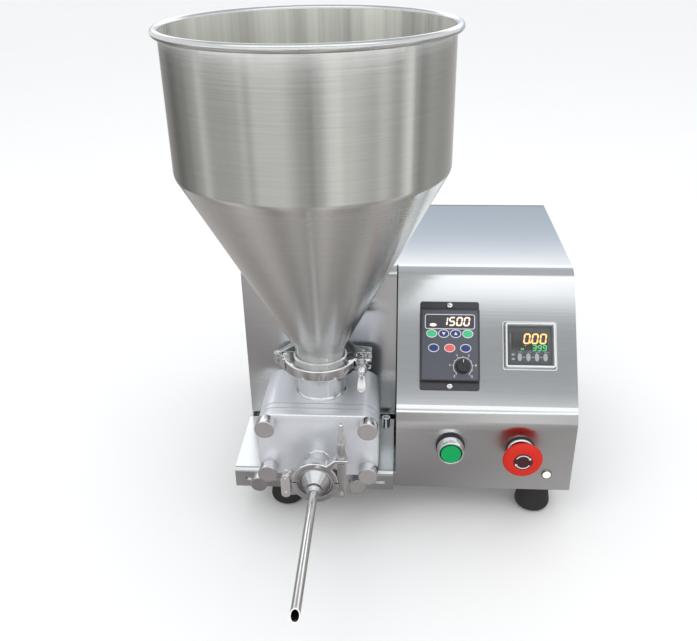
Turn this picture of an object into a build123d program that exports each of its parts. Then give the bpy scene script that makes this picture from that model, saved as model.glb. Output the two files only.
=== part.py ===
from build123d import *
import os
from math import acos, cos, pi, radians, sin, tan

# Bench-top cream filling machine: a sheet-steel cabinet with a sloping console, a gear pump on a tray
# in the cabinet's recess, a funnel hopper clamped on top of the pump and a long needle on its front.
# Millimetres. +X is to the right as the operator sees it, +Y to the back, +Z up. The origin is on the
# table, under the middle of the whole machine.

os.makedirs("parts", exist_ok=True)

# Cabinet
cabinet_width = 356.0
cabinet_depth = 304.5
cabinet_height = 212.5
console_width = 185.0
recess_depth = 99.0
lower_face_height = 89.0
sheet = 1.5
top_bend_r = 25.0
low_bend_r = 38.0
wall_bend_r = 10.0
rear_bend_r = 3.0
rear_flange = 14.0
seam = 1.4
cheek_lap = 10.0
weld_gap = 0.1
pan_t = 2.0
pan_height = 16.0
vent_length = 60.0
vent_width = 4.0
vent_pitch = 12.0
vent_rows = 6
vent_inset = 107.0
rear_screw_inset = 28.5

# Feet
foot_height = 40.0
foot_base_r = 19.5
foot_top_r = 14.2
foot_edge_r = 6.0
foot_bore_r = 7.5
foot_bore_depth = 16.0
foot_inset_left = 49.0
foot_inset_right = 32.0
foot_inset_front = 25.5
foot_inset_back = 32.0

# Tray
tray_t = 2.0
tray_height = 23.0
tray_overhang = 7.1
tray_side_overhang = 1.2
tray_bend_r = 5.0
tray_gap = 2.5
wall_gap = 3.0
slot_length = 40.0
slot_height = 6.6
slot_drop = 12.0
slot_left = 31.0
slot_right = 27.2

# Pump
axis_to_console = 79.7
pump_width = 124.0
pump_height = 74.0
pump_corner_r = 17.5
pump_lift = 7.5
mount_margin = 9.0
cover_front = 22.8
cover_t = 13.0
plate_t = 9.0
body_depth = 67.3
edge_chamfer = 1.0
gear_teeth = 12
gear_module = 3.75
gear_width = 42.0
pressure_angle = 25.0
addendum = 0.9
dedendum = 1.15
backlash = 0.3
chamber_clearance = 0.25
end_clearance = 0.1
port_width = 18.0
port_reach = 14.0
shaft_r = 8.0
bush_wall = 3.0
bush_length = 15.0
seal_wall = 5.0
seal_width = 7.0
ring_r = 1.5
ring_margin = 4.5
outlet_drop = 19.9

# Fits
running = 0.04
push_fit = 0.02
loose = 0.15

# Thumb screws
thumb_head_r = 10.0
thumb_head_length = 14.0
thumb_thread_r = 4.0
thumb_grip = 18.0
thumb_end_room = 1.0
thumb_offset_x = 51.5
thumb_offset_z = 27.8
tray_head_r = 9.0
tray_head_length = 11.0
tray_thread_r = 3.0
tray_screw_left = 27.0
tray_screw_right = 37.4
tray_screw_reach = 8.0

# Hopper and its clamp
hopper_setback = 31.4
hopper_wall = 1.2
bowl_r = 126.6
bowl_height = 120.0
cone_height = 191.3
neck_height = 14.3
bead_r = 3.5
inlet_rise = 35.5
inlet_tube_r = 25.4
inlet_tube_wall = 1.5
tube_seat = 6.0
inlet_ferrule_r = 32.0
inlet_rim = 2.85
gasket_t = 2.0
ferrule_taper = 20.0

# Outlet, nozzle and needle
outlet_neck = 29.7
outlet_tube_r = 13.0
outlet_tube_wall = 1.5
outlet_ferrule_r = 20.0
outlet_rim = 2.0
cap_cone = 12.0
cap_shoulder = 4.5
collar_r = 7.8
collar_length = 3.5
collar_taper = 3.5
needle_r = 4.3
needle_wall = 0.8
needle_free = 153.8
needle_seat = 10.0
needle_step = 0.3
needle_relief = 1.0
bevel_angle = 45.0

# Clamps: hopper first, outlet second
inlet_clamp_r = 39.0
inlet_clamp_half = 6.0
inlet_clamp_pin_x = 44.0
inlet_grip = 3.8
inlet_pivot_y = -8.0
inlet_ear_low = 6.0
inlet_ear_high = 14.0
inlet_ear_reach = 9.0
inlet_bolt_r = 4.0
inlet_bolt_end = 31.0
inlet_nut_height = 10.0
inlet_wing_reach = 20.0
outlet_clamp_r = 23.6
outlet_clamp_half = 5.6
outlet_clamp_pin_x = 26.5
outlet_grip = 2.0
outlet_pivot_y = -12.6
outlet_ear_low = 24.2
outlet_ear_high = 28.2
outlet_ear_reach = 6.5
outlet_bolt_r = 2.8
outlet_bolt_end = 68.0
outlet_nut_height = 8.0
outlet_wing_reach = 14.0
clamp_split = 1.5
clamp_pin_r = 2.0
eye_gap = 0.3
wing_low = 3.3
wing_flare = 17.0
wing_width = 10.5
wing_t = 3.6
link_pin_x = -30.0
link_high_y = 3.0
link_low_y = -14.0
cheek_t = 2.3
eye_wall = 1.5
knuckle_wall = 2.6
pin_proud = 0.5
nut_wall = 2.2
nut_flare = 0.8

# Where the clamps' ears and arms start inside the band, as shares of the band's radius
step_root = 0.3
rise_root = 0.4
side_root = 0.6
ear_root = 0.7
arm_root = 0.8
cheek_root = 0.9

# Drive
motor_shaft_r = 6.0
coupling_r = 16.0
hub_length = 14.0
spider_t = 5.0
spider_play = 0.1
coupling_gap = 3.0
bracket_t = 6.0
bracket_width = 112.0
bracket_foot = 56.0
bracket_bolt_front = 16.8
bracket_bolt_back = 11.2
shaft_room = 2.0
gearbox_size = 80.0
gearbox_length = 45.0
motor_r = 40.0
motor_end_gap = 14.3
motor_drop = 14.0
wall_hole_r = 13.0

# Bolts and screws
bolt_r = 3.0
bolt_length = 14.0
bolt_head_r = 5.0
bolt_head = 6.0
hex_r = 2.8
bolt_spread = 28.0
bolt_margin = 2.0
tray_bolt_x = 12.0
tray_bolt_y = 86.5
screw_r = 1.8
screw_head_r = 3.3
screw_head = 2.0
screw_length = 6.0
foot_screw_r = 3.0
foot_screw_head_r = 6.0
foot_screw_head = 4.0
foot_screw_proud = 5.0

# Speed controller, measured from the console's left edge and up the sloping panel
controller_x = 54.2
controller_s = 75.2
controller_width = 61.5
controller_height = 93.5
controller_ear = 8.6
controller_base_t = 3.0
controller_face_t = 5.0
controller_case_width = 50.0
controller_case_height = 70.0
controller_case_depth = 34.0
cutout_clearance = 0.5
window_width = 51.0
window_height = 15.5
window_depth = 0.8
window_rise = 25.5
knob_x = 67.4
knob_s = 52.6
knob_r = 7.6
knob_height = 8.0
knob_post_r = 3.0
knob_post = 6.5
knob_flutes = 12
knob_flute_r = 0.9

# Timer
timer_x = 136.7
timer_s = 76.4
timer_width = 46.2
timer_height = 41.8
timer_bezel_t = 5.0
timer_case_width = 42.5
timer_case_height = 38.0
timer_case_depth = 58.0
timer_cover_wall = 1.6
timer_cover_room = 0.4
timer_cover_height = 8.5
timer_flange = 2.6
timer_flange_t = 1.6

# Push buttons and lamp, measured from the console's left edge and its bottom
control_hole_r = 11.2
barrel_r = 11.0
barrel_length = 18.0
start_x = 56.6
start_z = 54.4
start_bezel_r = 14.4
start_bezel = 14.3
start_cap_r = 11.2
start_cap = 5.0
start_proud = 1.0
start_travel = 4.0
stem_r = 4.0
estop_x = 129.2
estop_z = 52.2
estop_collar_r = 14.5
estop_collar = 5.0
estop_stem_r = 8.0
estop_head_r = 20.5
estop_head = 9.5
estop_travel = 5.0
estop_gap = 2.5
estop_grip = 6.5
estop_front_r = 4.5
estop_back_r = 4.0
block_width = 26.0
block_depth = 24.0
block_pocket = 9.0
lamp_x = 159.2
lamp_z = 20.8
lamp_r = 5.4
lamp_bezel = 2.4
lamp_barrel_r = 3.9
lamp_barrel = 14.0

# Mains inlet on the back
inlet_x = 60.0
inlet_z = 45.0
inlet_width = 48.0
inlet_height = 28.0
inlet_flange_t = 2.6
inlet_case_width = 32.0
inlet_case_height = 24.0
inlet_case_depth = 22.0
inlet_wall = 2.5
inlet_well = 15.0
inlet_pin_r = 1.8
inlet_pin_pitch = 7.0
inlet_pin_rise = 2.0

# Places worked out from the sizes above
bead_centre_r = bowl_r - hopper_wall + bead_r
hopper_edge = bead_centre_r + bead_r
axis_x = (hopper_edge - axis_to_console - console_width) / 2
console_x = axis_x + axis_to_console
right_x = console_x + console_width
left_x = right_x - cabinet_width
nozzle_reach = gasket_t / 2 + outlet_rim + cap_cone + collar_length + collar_taper + needle_free
front_reach = cover_front + outlet_neck + nozzle_reach
front_y = (front_reach - cabinet_depth - inlet_flange_t) / 2
wall_y = front_y + recess_depth
back_y = front_y + cabinet_depth
back_in = back_y - sheet
floor_z = foot_height
top_z = floor_z + cabinet_height
bend_z = floor_z + lower_face_height
panel_rise = cabinet_height - lower_face_height
tray_z = floor_z + tray_height
tray_x0 = left_x - tray_side_overhang
tray_x1 = console_x - tray_gap
lip_y = front_y - tray_overhang
lip_in = lip_y + tray_t
slot_z = tray_z - slot_drop
slot_places = [(tray_x0 + slot_left, slot_z), (tray_x1 - slot_right, slot_z)]
tray_screw_places = [(tray_x0 + tray_screw_left, slot_z), (tray_x1 - tray_screw_right, slot_z)]
pump_bottom = tray_z + pump_lift
pump_z = pump_bottom + pump_height / 2
pump_top = pump_bottom + pump_height
cover_y = front_y - cover_front
plate_y = cover_y + cover_t
body_y = plate_y + plate_t
body_back = body_y + body_depth
gear_pitch_r = gear_teeth * gear_module / 2
gear_tip_r = gear_pitch_r + addendum * gear_module
gear_root_r = gear_pitch_r - dedendum * gear_module
chamber_r = gear_tip_r + chamber_clearance
chamber_depth = gear_width + 2 * end_clearance
drive_x = axis_x + gear_pitch_r
idler_x = axis_x - gear_pitch_r
bush_r = shaft_r + bush_wall
bush_y = body_y + chamber_depth
seal_y = body_back - seal_width
outlet_z = pump_z - outlet_drop
hopper_y = front_y + hopper_setback
joint_z = pump_top + inlet_rise
outlet_joint_y = cover_y - outlet_neck
coupling_y = wall_y + sheet + coupling_gap
spider_y = coupling_y + hub_length + spider_play
hub_y = spider_y + spider_t + spider_play
bracket_y = hub_y + hub_length + coupling_gap
gearbox_y = bracket_y + bracket_t
motor_y = gearbox_y + gearbox_length
motor_z = pump_z - motor_drop
motor_length = back_in - motor_end_gap - motor_y
pan_top = floor_z + pan_t

panel = Plane(
    origin=(console_x, front_y, bend_z), x_dir=(1, 0, 0), z_dir=(0, -panel_rise, recess_depth)
)
face = Plane(origin=(console_x, front_y, floor_z), x_dir=(1, 0, 0), z_dir=(0, -1, 0))
rear = Plane(origin=(right_x, back_y, floor_z), x_dir=(-1, 0, 0), z_dir=(0, 1, 0))
hopper_axis = Axis((axis_x, hopper_y, 0), (0, 0, 1))
hopper_section = Plane(origin=(axis_x, hopper_y, 0), x_dir=(1, 0, 0), z_dir=(0, -1, 0))
outlet_axis = Axis((axis_x, 0, outlet_z), (0, 1, 0))
outlet_section = Plane(origin=(axis_x, 0, outlet_z), x_dir=(1, 0, 0), z_dir=(0, 0, 1))
inlet_clamp_frame = Plane(origin=(axis_x, hopper_y, joint_z), x_dir=(1, 0, 0), z_dir=(0, 0, -1))
outlet_clamp_frame = Plane(
    origin=(axis_x, outlet_joint_y, outlet_z), x_dir=(1, 0, 0), z_dir=(0, -1, 0)
)


def across(y):
    """Upright plane at a depth y, with X and Z as its axes and its normal towards the operator."""
    return Plane.XZ.offset(-y)


def ferrule_slope(width):
    """How far a ferrule's back face falls away over a width, at the clamp's taper."""
    return width * tan(radians(ferrule_taper))


def thumb_screw(head_r, head_length, thread_r, reach):
    """Turned thumb screw along +Z: the head starts at the origin and the thread goes to -reach."""
    with BuildPart() as screw:
        Cylinder(head_r, head_length, align=(Align.CENTER, Align.CENTER, Align.MIN))
        chamfer(screw.edges().group_by(Axis.Z)[-1], edge_chamfer)
        Cylinder(thread_r, reach, align=(Align.CENTER, Align.CENTER, Align.MAX))
    return screw.part


def socket_bolt():
    """Socket-head bolt along +Z, with its head standing on the origin."""
    with BuildPart() as bolt:
        Cylinder(bolt_head_r, bolt_head, align=(Align.CENTER, Align.CENTER, Align.MIN))
        Cylinder(bolt_r, bolt_length, align=(Align.CENTER, Align.CENTER, Align.MAX))
        with BuildSketch(Plane.XY.offset(bolt_head)):
            RegularPolygon(hex_r, 6)
        extrude(amount=-bolt_head / 2, mode=Mode.SUBTRACT)
    return bolt.part


def pan_screw():
    """Small pan-head screw along +Z, with its head standing on the origin."""
    with BuildPart() as screw:
        Cylinder(screw_head_r, screw_head, align=(Align.CENTER, Align.CENTER, Align.MIN))
        fillet(screw.edges().group_by(Axis.Z)[-1], screw_head / 2)
        Cylinder(screw_r, screw_length, align=(Align.CENTER, Align.CENTER, Align.MAX))
    return screw.part


def gear(bore_r, turn):
    """Spur gear along +Z from the origin, turned so that a tooth lies at that angle."""
    base_r = gear_pitch_r * cos(radians(pressure_angle))

    def roll(r):
        lean = acos(min(1.0, base_r / r))
        return tan(lean) - lean

    half_pitch = (pi * gear_module / 2 - backlash) / 2 / gear_pitch_r

    def flank(r, side):
        angle = side * (half_pitch + roll(gear_pitch_r) - roll(r))
        return (r * cos(angle), r * sin(angle))

    steps = 5
    radii = [base_r + (gear_tip_r - base_r) * i / (steps - 1) for i in range(steps)]
    inner_r = gear_root_r - gear_module / 2
    foot_angle = half_pitch + roll(gear_pitch_r)
    foot_low = (inner_r * cos(foot_angle), -inner_r * sin(foot_angle))
    foot_high = (inner_r * cos(foot_angle), inner_r * sin(foot_angle))
    with BuildSketch() as tooth:
        with BuildLine():
            low = Spline(*[flank(r, -1) for r in radii])
            high = Spline(*[flank(r, 1) for r in radii])
            ThreePointArc(low @ 1, (gear_tip_r, 0), high @ 1)
            Polyline(low @ 0, foot_low, foot_high, high @ 0)
        make_face()
    with BuildPart() as wheel:
        with BuildSketch():
            Circle(gear_root_r)
            with PolarLocations(0, gear_teeth, start_angle=turn):
                add(tooth.sketch)
            Circle(bore_r, mode=Mode.SUBTRACT)
        extrude(amount=gear_width)
    return wheel.part


def clamp_room(half, ferrule_r, rim, grip):
    """The room inside a clamp band about +Z: its bore, and the groove that grips both ferrules."""
    edge_half = gasket_t / 2 + rim + loose
    lip_r = ferrule_r - grip
    lip_half = edge_half + ferrule_slope(grip)
    with BuildPart() as room:
        with BuildSketch(Plane.XZ):
            with BuildLine():
                Polyline(
                    (0, -2 * half),
                    (lip_r, -2 * half),
                    (lip_r, -lip_half),
                    (ferrule_r, -edge_half),
                    (ferrule_r + loose, -edge_half),
                    (ferrule_r + loose, edge_half),
                    (ferrule_r, edge_half),
                    (lip_r, lip_half),
                    (lip_r, 2 * half),
                    (0, 2 * half),
                    close=True,
                )
            make_face()
        revolve(axis=Axis.Z)
    return room.part


def half_disc(ring_r, half, side):
    """Half of a clamp's disc about +Z, on the +Y side or the -Y side and clear of the split."""
    with BuildPart() as disc:
        Cylinder(ring_r, 2 * half)
        with Locations((0, side * (clamp_split / 2 - ring_r), 0)):
            Box(4 * ring_r, 2 * ring_r, 4 * half, mode=Mode.SUBTRACT)
    return disc.part


def swing_bolt(thread_r, pivot_y, end_y, fork_half):
    """Eye bolt in a clamp's own frame: its eye turns on the pivot and its thread runs along +Y."""
    eye_half = fork_half - eye_gap
    eye_r = thread_r + eye_wall
    thread_y = pivot_y + 2 * eye_r
    with BuildPart() as bolt:
        with Locations((0, pivot_y, 0)):
            Cylinder(eye_r, 2 * eye_half)
        with BuildSketch(Plane.XZ.offset(-pivot_y)):
            Circle(min(thread_r, eye_half))
        extrude(amount=pivot_y - thread_y - eye_wall)
        with BuildSketch(Plane.XZ.offset(-thread_y)):
            Circle(thread_r)
        extrude(amount=thread_y - end_y)
        with Locations((0, pivot_y, 0)):
            Cylinder(clamp_pin_r + running, 4 * fork_half, mode=Mode.SUBTRACT)
    return bolt.part


def wing_nut(thread_r, height, reach):
    """Wing nut along +Z standing on the origin, with two round-ended wings that flare out along X."""
    hub_r = thread_r + nut_wall
    foot_r = hub_r + nut_flare
    with BuildPart() as nut:
        for side in (-1, 1):
            with BuildSketch(Plane.XZ):
                with BuildLine():
                    Polyline(
                        (side * thread_r, wing_low),
                        (side * hub_r, wing_low),
                        (side * reach, wing_low + wing_flare),
                        (side * (reach - wing_t), wing_low + wing_flare + wing_t / 2),
                        (side * thread_r, height),
                        close=True,
                    )
                make_face()
            extrude(amount=wing_width / 2, both=True)
        with BuildSketch():
            SlotOverall(2 * reach, wing_width)
        extrude(amount=height + 2 * wing_flare, mode=Mode.INTERSECT)
        Cone(foot_r, hub_r, height, align=(Align.CENTER, Align.CENTER, Align.MIN))
        Cylinder(thread_r + running, 6 * height, mode=Mode.SUBTRACT)
    return nut.part


# Cabinet

console_fold = [
    (back_in, top_z - rear_flange),
    (back_in, top_z),
    (wall_y, top_z),
    (front_y, bend_z),
    (front_y, floor_z),
]
wall_fold = [
    (back_in, top_z - rear_flange),
    (back_in, top_z),
    (wall_y, top_z),
    (wall_y, tray_z + wall_gap),
]
rear_screw_x = [rear_screw_inset, cabinet_width / 2, cabinet_width - rear_screw_inset]
rear_screw_z = [pan_height / 2, cabinet_height - rear_flange / 2 - sheet]
controller_screw_s = (controller_height - controller_ear) / 2

with BuildPart() as main_cover:
    with BuildSketch(Plane.YZ.offset(console_x)):
        with BuildLine():
            FilletPolyline(*console_fold, radius=[rear_bend_r, top_bend_r, low_bend_r])
            offset(amount=sheet, side=Side.LEFT)
        make_face()
    extrude(amount=console_width)
    with BuildSketch(Plane.YZ.offset(left_x)):
        with BuildLine():
            FilletPolyline(*wall_fold, radius=[rear_bend_r, wall_bend_r])
            offset(amount=sheet, side=Side.LEFT)
        make_face()
    extrude(amount=console_x - left_x)
    # slit between the recess wall and the console
    with BuildSketch(Plane.XY.offset(top_z)):
        with Locations((console_x - seam / 2, wall_y)):
            Rectangle(seam, 2 * wall_bend_r)
    extrude(amount=-cabinet_height, mode=Mode.SUBTRACT)
    # openings for the controller and the timer
    with BuildSketch(panel):
        with Locations((controller_x, controller_s)):
            Rectangle(
                controller_case_width + 2 * cutout_clearance,
                controller_case_height + 2 * cutout_clearance,
            )
            with Locations((0, controller_screw_s), (0, -controller_screw_s)):
                Circle(screw_r + push_fit)
        with Locations((timer_x, timer_s)):
            Rectangle(
                timer_case_width + 2 * cutout_clearance, timer_case_height + 2 * cutout_clearance
            )
    extrude(amount=2 * sheet, both=True, mode=Mode.SUBTRACT)
    # holes for the buttons and the lamp
    with BuildSketch(face):
        with Locations((start_x, start_z), (estop_x, estop_z)):
            Circle(control_hole_r)
        with Locations((lamp_x, lamp_z)):
            Circle(lamp_barrel_r + loose)
    extrude(amount=2 * sheet, both=True, mode=Mode.SUBTRACT)
    # shaft hole in the recess wall
    with BuildSketch(across(wall_y)):
        with Locations((drive_x, pump_z)):
            Circle(wall_hole_r)
    extrude(amount=2 * sheet, both=True, mode=Mode.SUBTRACT)
    # screw holes in the rear flange
    with BuildSketch(rear):
        with Locations(*[(x, rear_screw_z[1]) for x in rear_screw_x]):
            Circle(screw_r + push_fit)
    extrude(amount=-4 * sheet, mode=Mode.SUBTRACT)
main_cover.part.label = "main_cover"
export_step(main_cover.part, "parts/main_cover.step")

inset = sheet + weld_gap
rear_edge = cabinet_height - rear_flange - weld_gap
with BuildSketch(Plane.YZ) as console_side:
    with BuildLine():
        skin = FilletPolyline(
            (back_in, floor_z - inset),
            (back_in, top_z),
            (wall_y, top_z),
            (front_y, bend_z),
            (front_y, floor_z - inset),
            radius=[rear_bend_r, top_bend_r, low_bend_r],
        )
        Line(skin @ 1, skin @ 0)
    make_face()
    offset(amount=-inset, kind=Kind.INTERSECTION, mode=Mode.REPLACE)
    with Locations((back_in, floor_z)):
        Rectangle(2 * inset, rear_edge, align=(Align.MAX, Align.MIN))

with BuildPart() as right_side_panel:
    with BuildSketch(Plane.YZ.offset(right_x)):
        add(console_side.sketch_local)
    extrude(amount=-sheet)
right_side_panel.part.label = "right_side_panel"
export_step(right_side_panel.part, "parts/right_side_panel.step")

with BuildPart() as console_cheek:
    with BuildSketch(Plane.YZ.offset(console_x)):
        add(console_side.sketch_local)
        with Locations((wall_y + cheek_lap, floor_z + pan_height)):
            Rectangle(
                2 * recess_depth,
                2 * cabinet_height,
                align=(Align.MAX, Align.MIN),
                mode=Mode.INTERSECT,
            )
    extrude(amount=sheet)
console_cheek.part.label = "console_cheek"
export_step(console_cheek.part, "parts/console_cheek.step")

with BuildPart() as left_side_panel:
    with BuildSketch(Plane.YZ.offset(left_x)):
        with BuildLine():
            skin = FilletPolyline(
                (back_in, floor_z - inset),
                (back_in, top_z),
                (wall_y, top_z),
                (wall_y, floor_z - inset),
                radius=[rear_bend_r, wall_bend_r],
            )
            Line(skin @ 1, skin @ 0)
        make_face()
        offset(amount=-inset, kind=Kind.INTERSECTION, mode=Mode.REPLACE)
        with Locations((back_in, floor_z)):
            Rectangle(2 * inset, rear_edge, align=(Align.MAX, Align.MIN))
    extrude(amount=sheet)
left_side_panel.part.label = "left_side_panel"
export_step(left_side_panel.part, "parts/left_side_panel.step")

with BuildPart() as rear_panel:
    with BuildSketch(rear):
        with Locations((cabinet_width / 2, cabinet_height / 2)):
            Rectangle(cabinet_width, cabinet_height)
        with Locations(*[(x, z) for x in rear_screw_x for z in rear_screw_z]):
            Circle(screw_r + push_fit, mode=Mode.SUBTRACT)
        with Locations((inlet_x, inlet_z)):
            Rectangle(
                inlet_case_width + 2 * cutout_clearance,
                inlet_case_height + 2 * cutout_clearance,
                mode=Mode.SUBTRACT,
            )
        with Locations((cabinet_width - vent_inset, cabinet_height / 2)):
            with GridLocations(vent_length + vent_pitch, vent_pitch, 2, vent_rows):
                SlotOverall(vent_length, vent_width, mode=Mode.SUBTRACT)
    extrude(amount=-sheet)
rear_panel.part.label = "rear_panel"
export_step(rear_panel.part, "parts/rear_panel.step")

foot_places = [
    (x, y)
    for x in (left_x + foot_inset_left, right_x - foot_inset_right)
    for y in (front_y + foot_inset_front, back_y - foot_inset_back)
]
bracket_bolts = [
    (drive_x + side * (bracket_width / 2 - bolt_head_r - bolt_margin), gearbox_y + reach)
    for side in (-1, 1)
    for reach in (bracket_bolt_front, bracket_foot - bracket_bolt_back)
]
with BuildPart() as base_pan:
    with BuildSketch(Plane.XY.offset(floor_z)) as footprint:
        with BuildLine():
            Polyline(
                (left_x + sheet, lip_in),
                (tray_x1, lip_in),
                (tray_x1, front_y + sheet),
                (right_x - sheet, front_y + sheet),
                (right_x - sheet, back_in),
                (left_x + sheet, back_in),
                close=True,
            )
        make_face()
    extrude(amount=pan_height)
    with BuildSketch(Plane.XY.offset(pan_top)):
        add(footprint.sketch_local)
        offset(amount=-pan_t, kind=Kind.INTERSECTION, mode=Mode.REPLACE)
    extrude(amount=pan_height, mode=Mode.SUBTRACT)
    with BuildSketch(Plane.XY.offset(floor_z)):
        with Locations(*foot_places):
            Circle(foot_screw_r + push_fit)
        with Locations(*bracket_bolts):
            Circle(bolt_r + push_fit)
    extrude(amount=pan_t, mode=Mode.SUBTRACT)
    with BuildSketch(across(lip_in)):
        with Locations(*tray_screw_places):
            Circle(tray_thread_r + running)
    extrude(amount=-pan_t, mode=Mode.SUBTRACT)
    with BuildSketch(rear):
        with Locations(*[(x, rear_screw_z[0]) for x in rear_screw_x]):
            Circle(screw_r + push_fit)
    extrude(amount=-sheet - pan_t, mode=Mode.SUBTRACT)
base_pan.part.label = "base_pan"
export_step(base_pan.part, "parts/base_pan.step")

with BuildPart() as panel_screws:
    with Locations(rear.location):
        with Locations(*[(x, z, 0) for x in rear_screw_x for z in rear_screw_z]):
            add(pan_screw())
    with Locations(panel.location):
        with Locations(
            *[(controller_x, controller_s + s, controller_base_t)
              for s in (-controller_screw_s, controller_screw_s)]
        ):
            add(pan_screw())
panel_screws.part.label = "panel_screws"
export_step(panel_screws.part, "parts/panel_screws.step")

with BuildPart() as rubber_feet:
    with Locations(*[(x, y, 0) for x, y in foot_places]):
        Cone(
            foot_base_r, foot_top_r, foot_height, align=(Align.CENTER, Align.CENTER, Align.MIN)
        )
    fillet(rubber_feet.faces().filter_by(Axis.Z).group_by(Axis.Z)[0].edges(), foot_edge_r)
    with Locations(*[(x, y, 0) for x, y in foot_places]):
        Cylinder(
            foot_bore_r,
            foot_bore_depth,
            align=(Align.CENTER, Align.CENTER, Align.MIN),
            mode=Mode.SUBTRACT,
        )
        Cylinder(
            foot_screw_r + push_fit,
            foot_height,
            align=(Align.CENTER, Align.CENTER, Align.MIN),
            mode=Mode.SUBTRACT,
        )
rubber_feet.part.label = "rubber_feet"
export_step(rubber_feet.part, "parts/rubber_feet.step")

with BuildPart() as foot_screws:
    with Locations(*[(x, y, foot_bore_depth) for x, y in foot_places]):
        Cylinder(
            foot_screw_head_r, foot_screw_head, align=(Align.CENTER, Align.CENTER, Align.MAX)
        )
        Cylinder(
            foot_screw_r,
            foot_height - foot_bore_depth + pan_t + foot_screw_proud,
            align=(Align.CENTER, Align.CENTER, Align.MIN),
        )
foot_screws.part.label = "foot_screws"
export_step(foot_screws.part, "parts/foot_screws.step")

# Tray and pump mount

mount_width = pump_width - 2 * mount_margin
mount_depth = body_depth - 2 * mount_margin
mount_y = body_y + body_depth / 2
mount_bolts = [
    (axis_x + side * (mount_width / 2 - mount_margin), mount_y + end * (mount_depth / 2 - mount_margin))
    for side in (-1, 1)
    for end in (-1, 1)
]
tray_bolt = (console_x - tray_bolt_x, front_y + tray_bolt_y)
tray_back = wall_y - tray_gap

with BuildPart() as pump_tray:
    with BuildSketch(Plane.YZ.offset(tray_x0)):
        with BuildLine():
            FilletPolyline(
                (tray_back, pan_top),
                (tray_back, tray_z),
                (lip_y, tray_z),
                (lip_y, floor_z),
                radius=tray_bend_r,
            )
            offset(amount=tray_t, side=Side.LEFT)
        make_face()
    extrude(amount=tray_x1 - tray_x0)
    # end plate that closes the channel on the left
    with BuildSketch(Plane.YZ.offset(tray_x0)):
        with BuildLine():
            FilletPolyline(
                (tray_back - tray_t, pan_top),
                (tray_back - tray_t, tray_z - tray_t),
                (lip_in, tray_z - tray_t),
                (lip_in, pan_top),
                radius=tray_bend_r - tray_t,
                close=True,
            )
        make_face()
    extrude(amount=tray_t)
    with BuildSketch(across(lip_y)):
        with Locations(*slot_places):
            SlotOverall(slot_length, slot_height)
    extrude(amount=-tray_t, mode=Mode.SUBTRACT)
    with BuildSketch(Plane.XY.offset(tray_z)):
        with Locations(*mount_bolts, tray_bolt):
            Circle(bolt_r + push_fit)
    extrude(amount=-tray_t, mode=Mode.SUBTRACT)
    # notch in the rear leg for the pan's flange
    with BuildSketch(across(tray_back - tray_t)):
        with Locations((tray_x0, pan_top)):
            Rectangle(
                tray_side_overhang + sheet + pan_t + loose,
                pan_height - pan_t + loose,
                align=Align.MIN,
            )
    extrude(amount=-tray_t, mode=Mode.SUBTRACT)
pump_tray.part.label = "pump_tray"
export_step(pump_tray.part, "parts/pump_tray.step")

with BuildPart() as pump_mount_plate:
    with BuildSketch(Plane.XY.offset(tray_z)):
        with Locations((axis_x, mount_y)):
            Rectangle(mount_width, mount_depth)
        with Locations(*mount_bolts):
            Circle(bolt_r + push_fit, mode=Mode.SUBTRACT)
    extrude(amount=pump_lift)
pump_mount_plate.part.label = "pump_mount_plate"
export_step(pump_mount_plate.part, "parts/pump_mount_plate.step")

# Gear pump

thumb_places = [
    (axis_x + sx * thumb_offset_x, pump_z + sz * thumb_offset_z) for sz in (1, -1) for sx in (-1, 1)
]
gear_places = [(drive_x, pump_z), (idler_x, pump_z)]
outlet_bore_r = outlet_tube_r - outlet_tube_wall
inlet_bore_r = inlet_tube_r - inlet_tube_wall
ring_straight = 2 * gear_pitch_r
ring_half = chamber_r + ring_margin
port_half = chamber_r / 2 + port_reach

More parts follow.
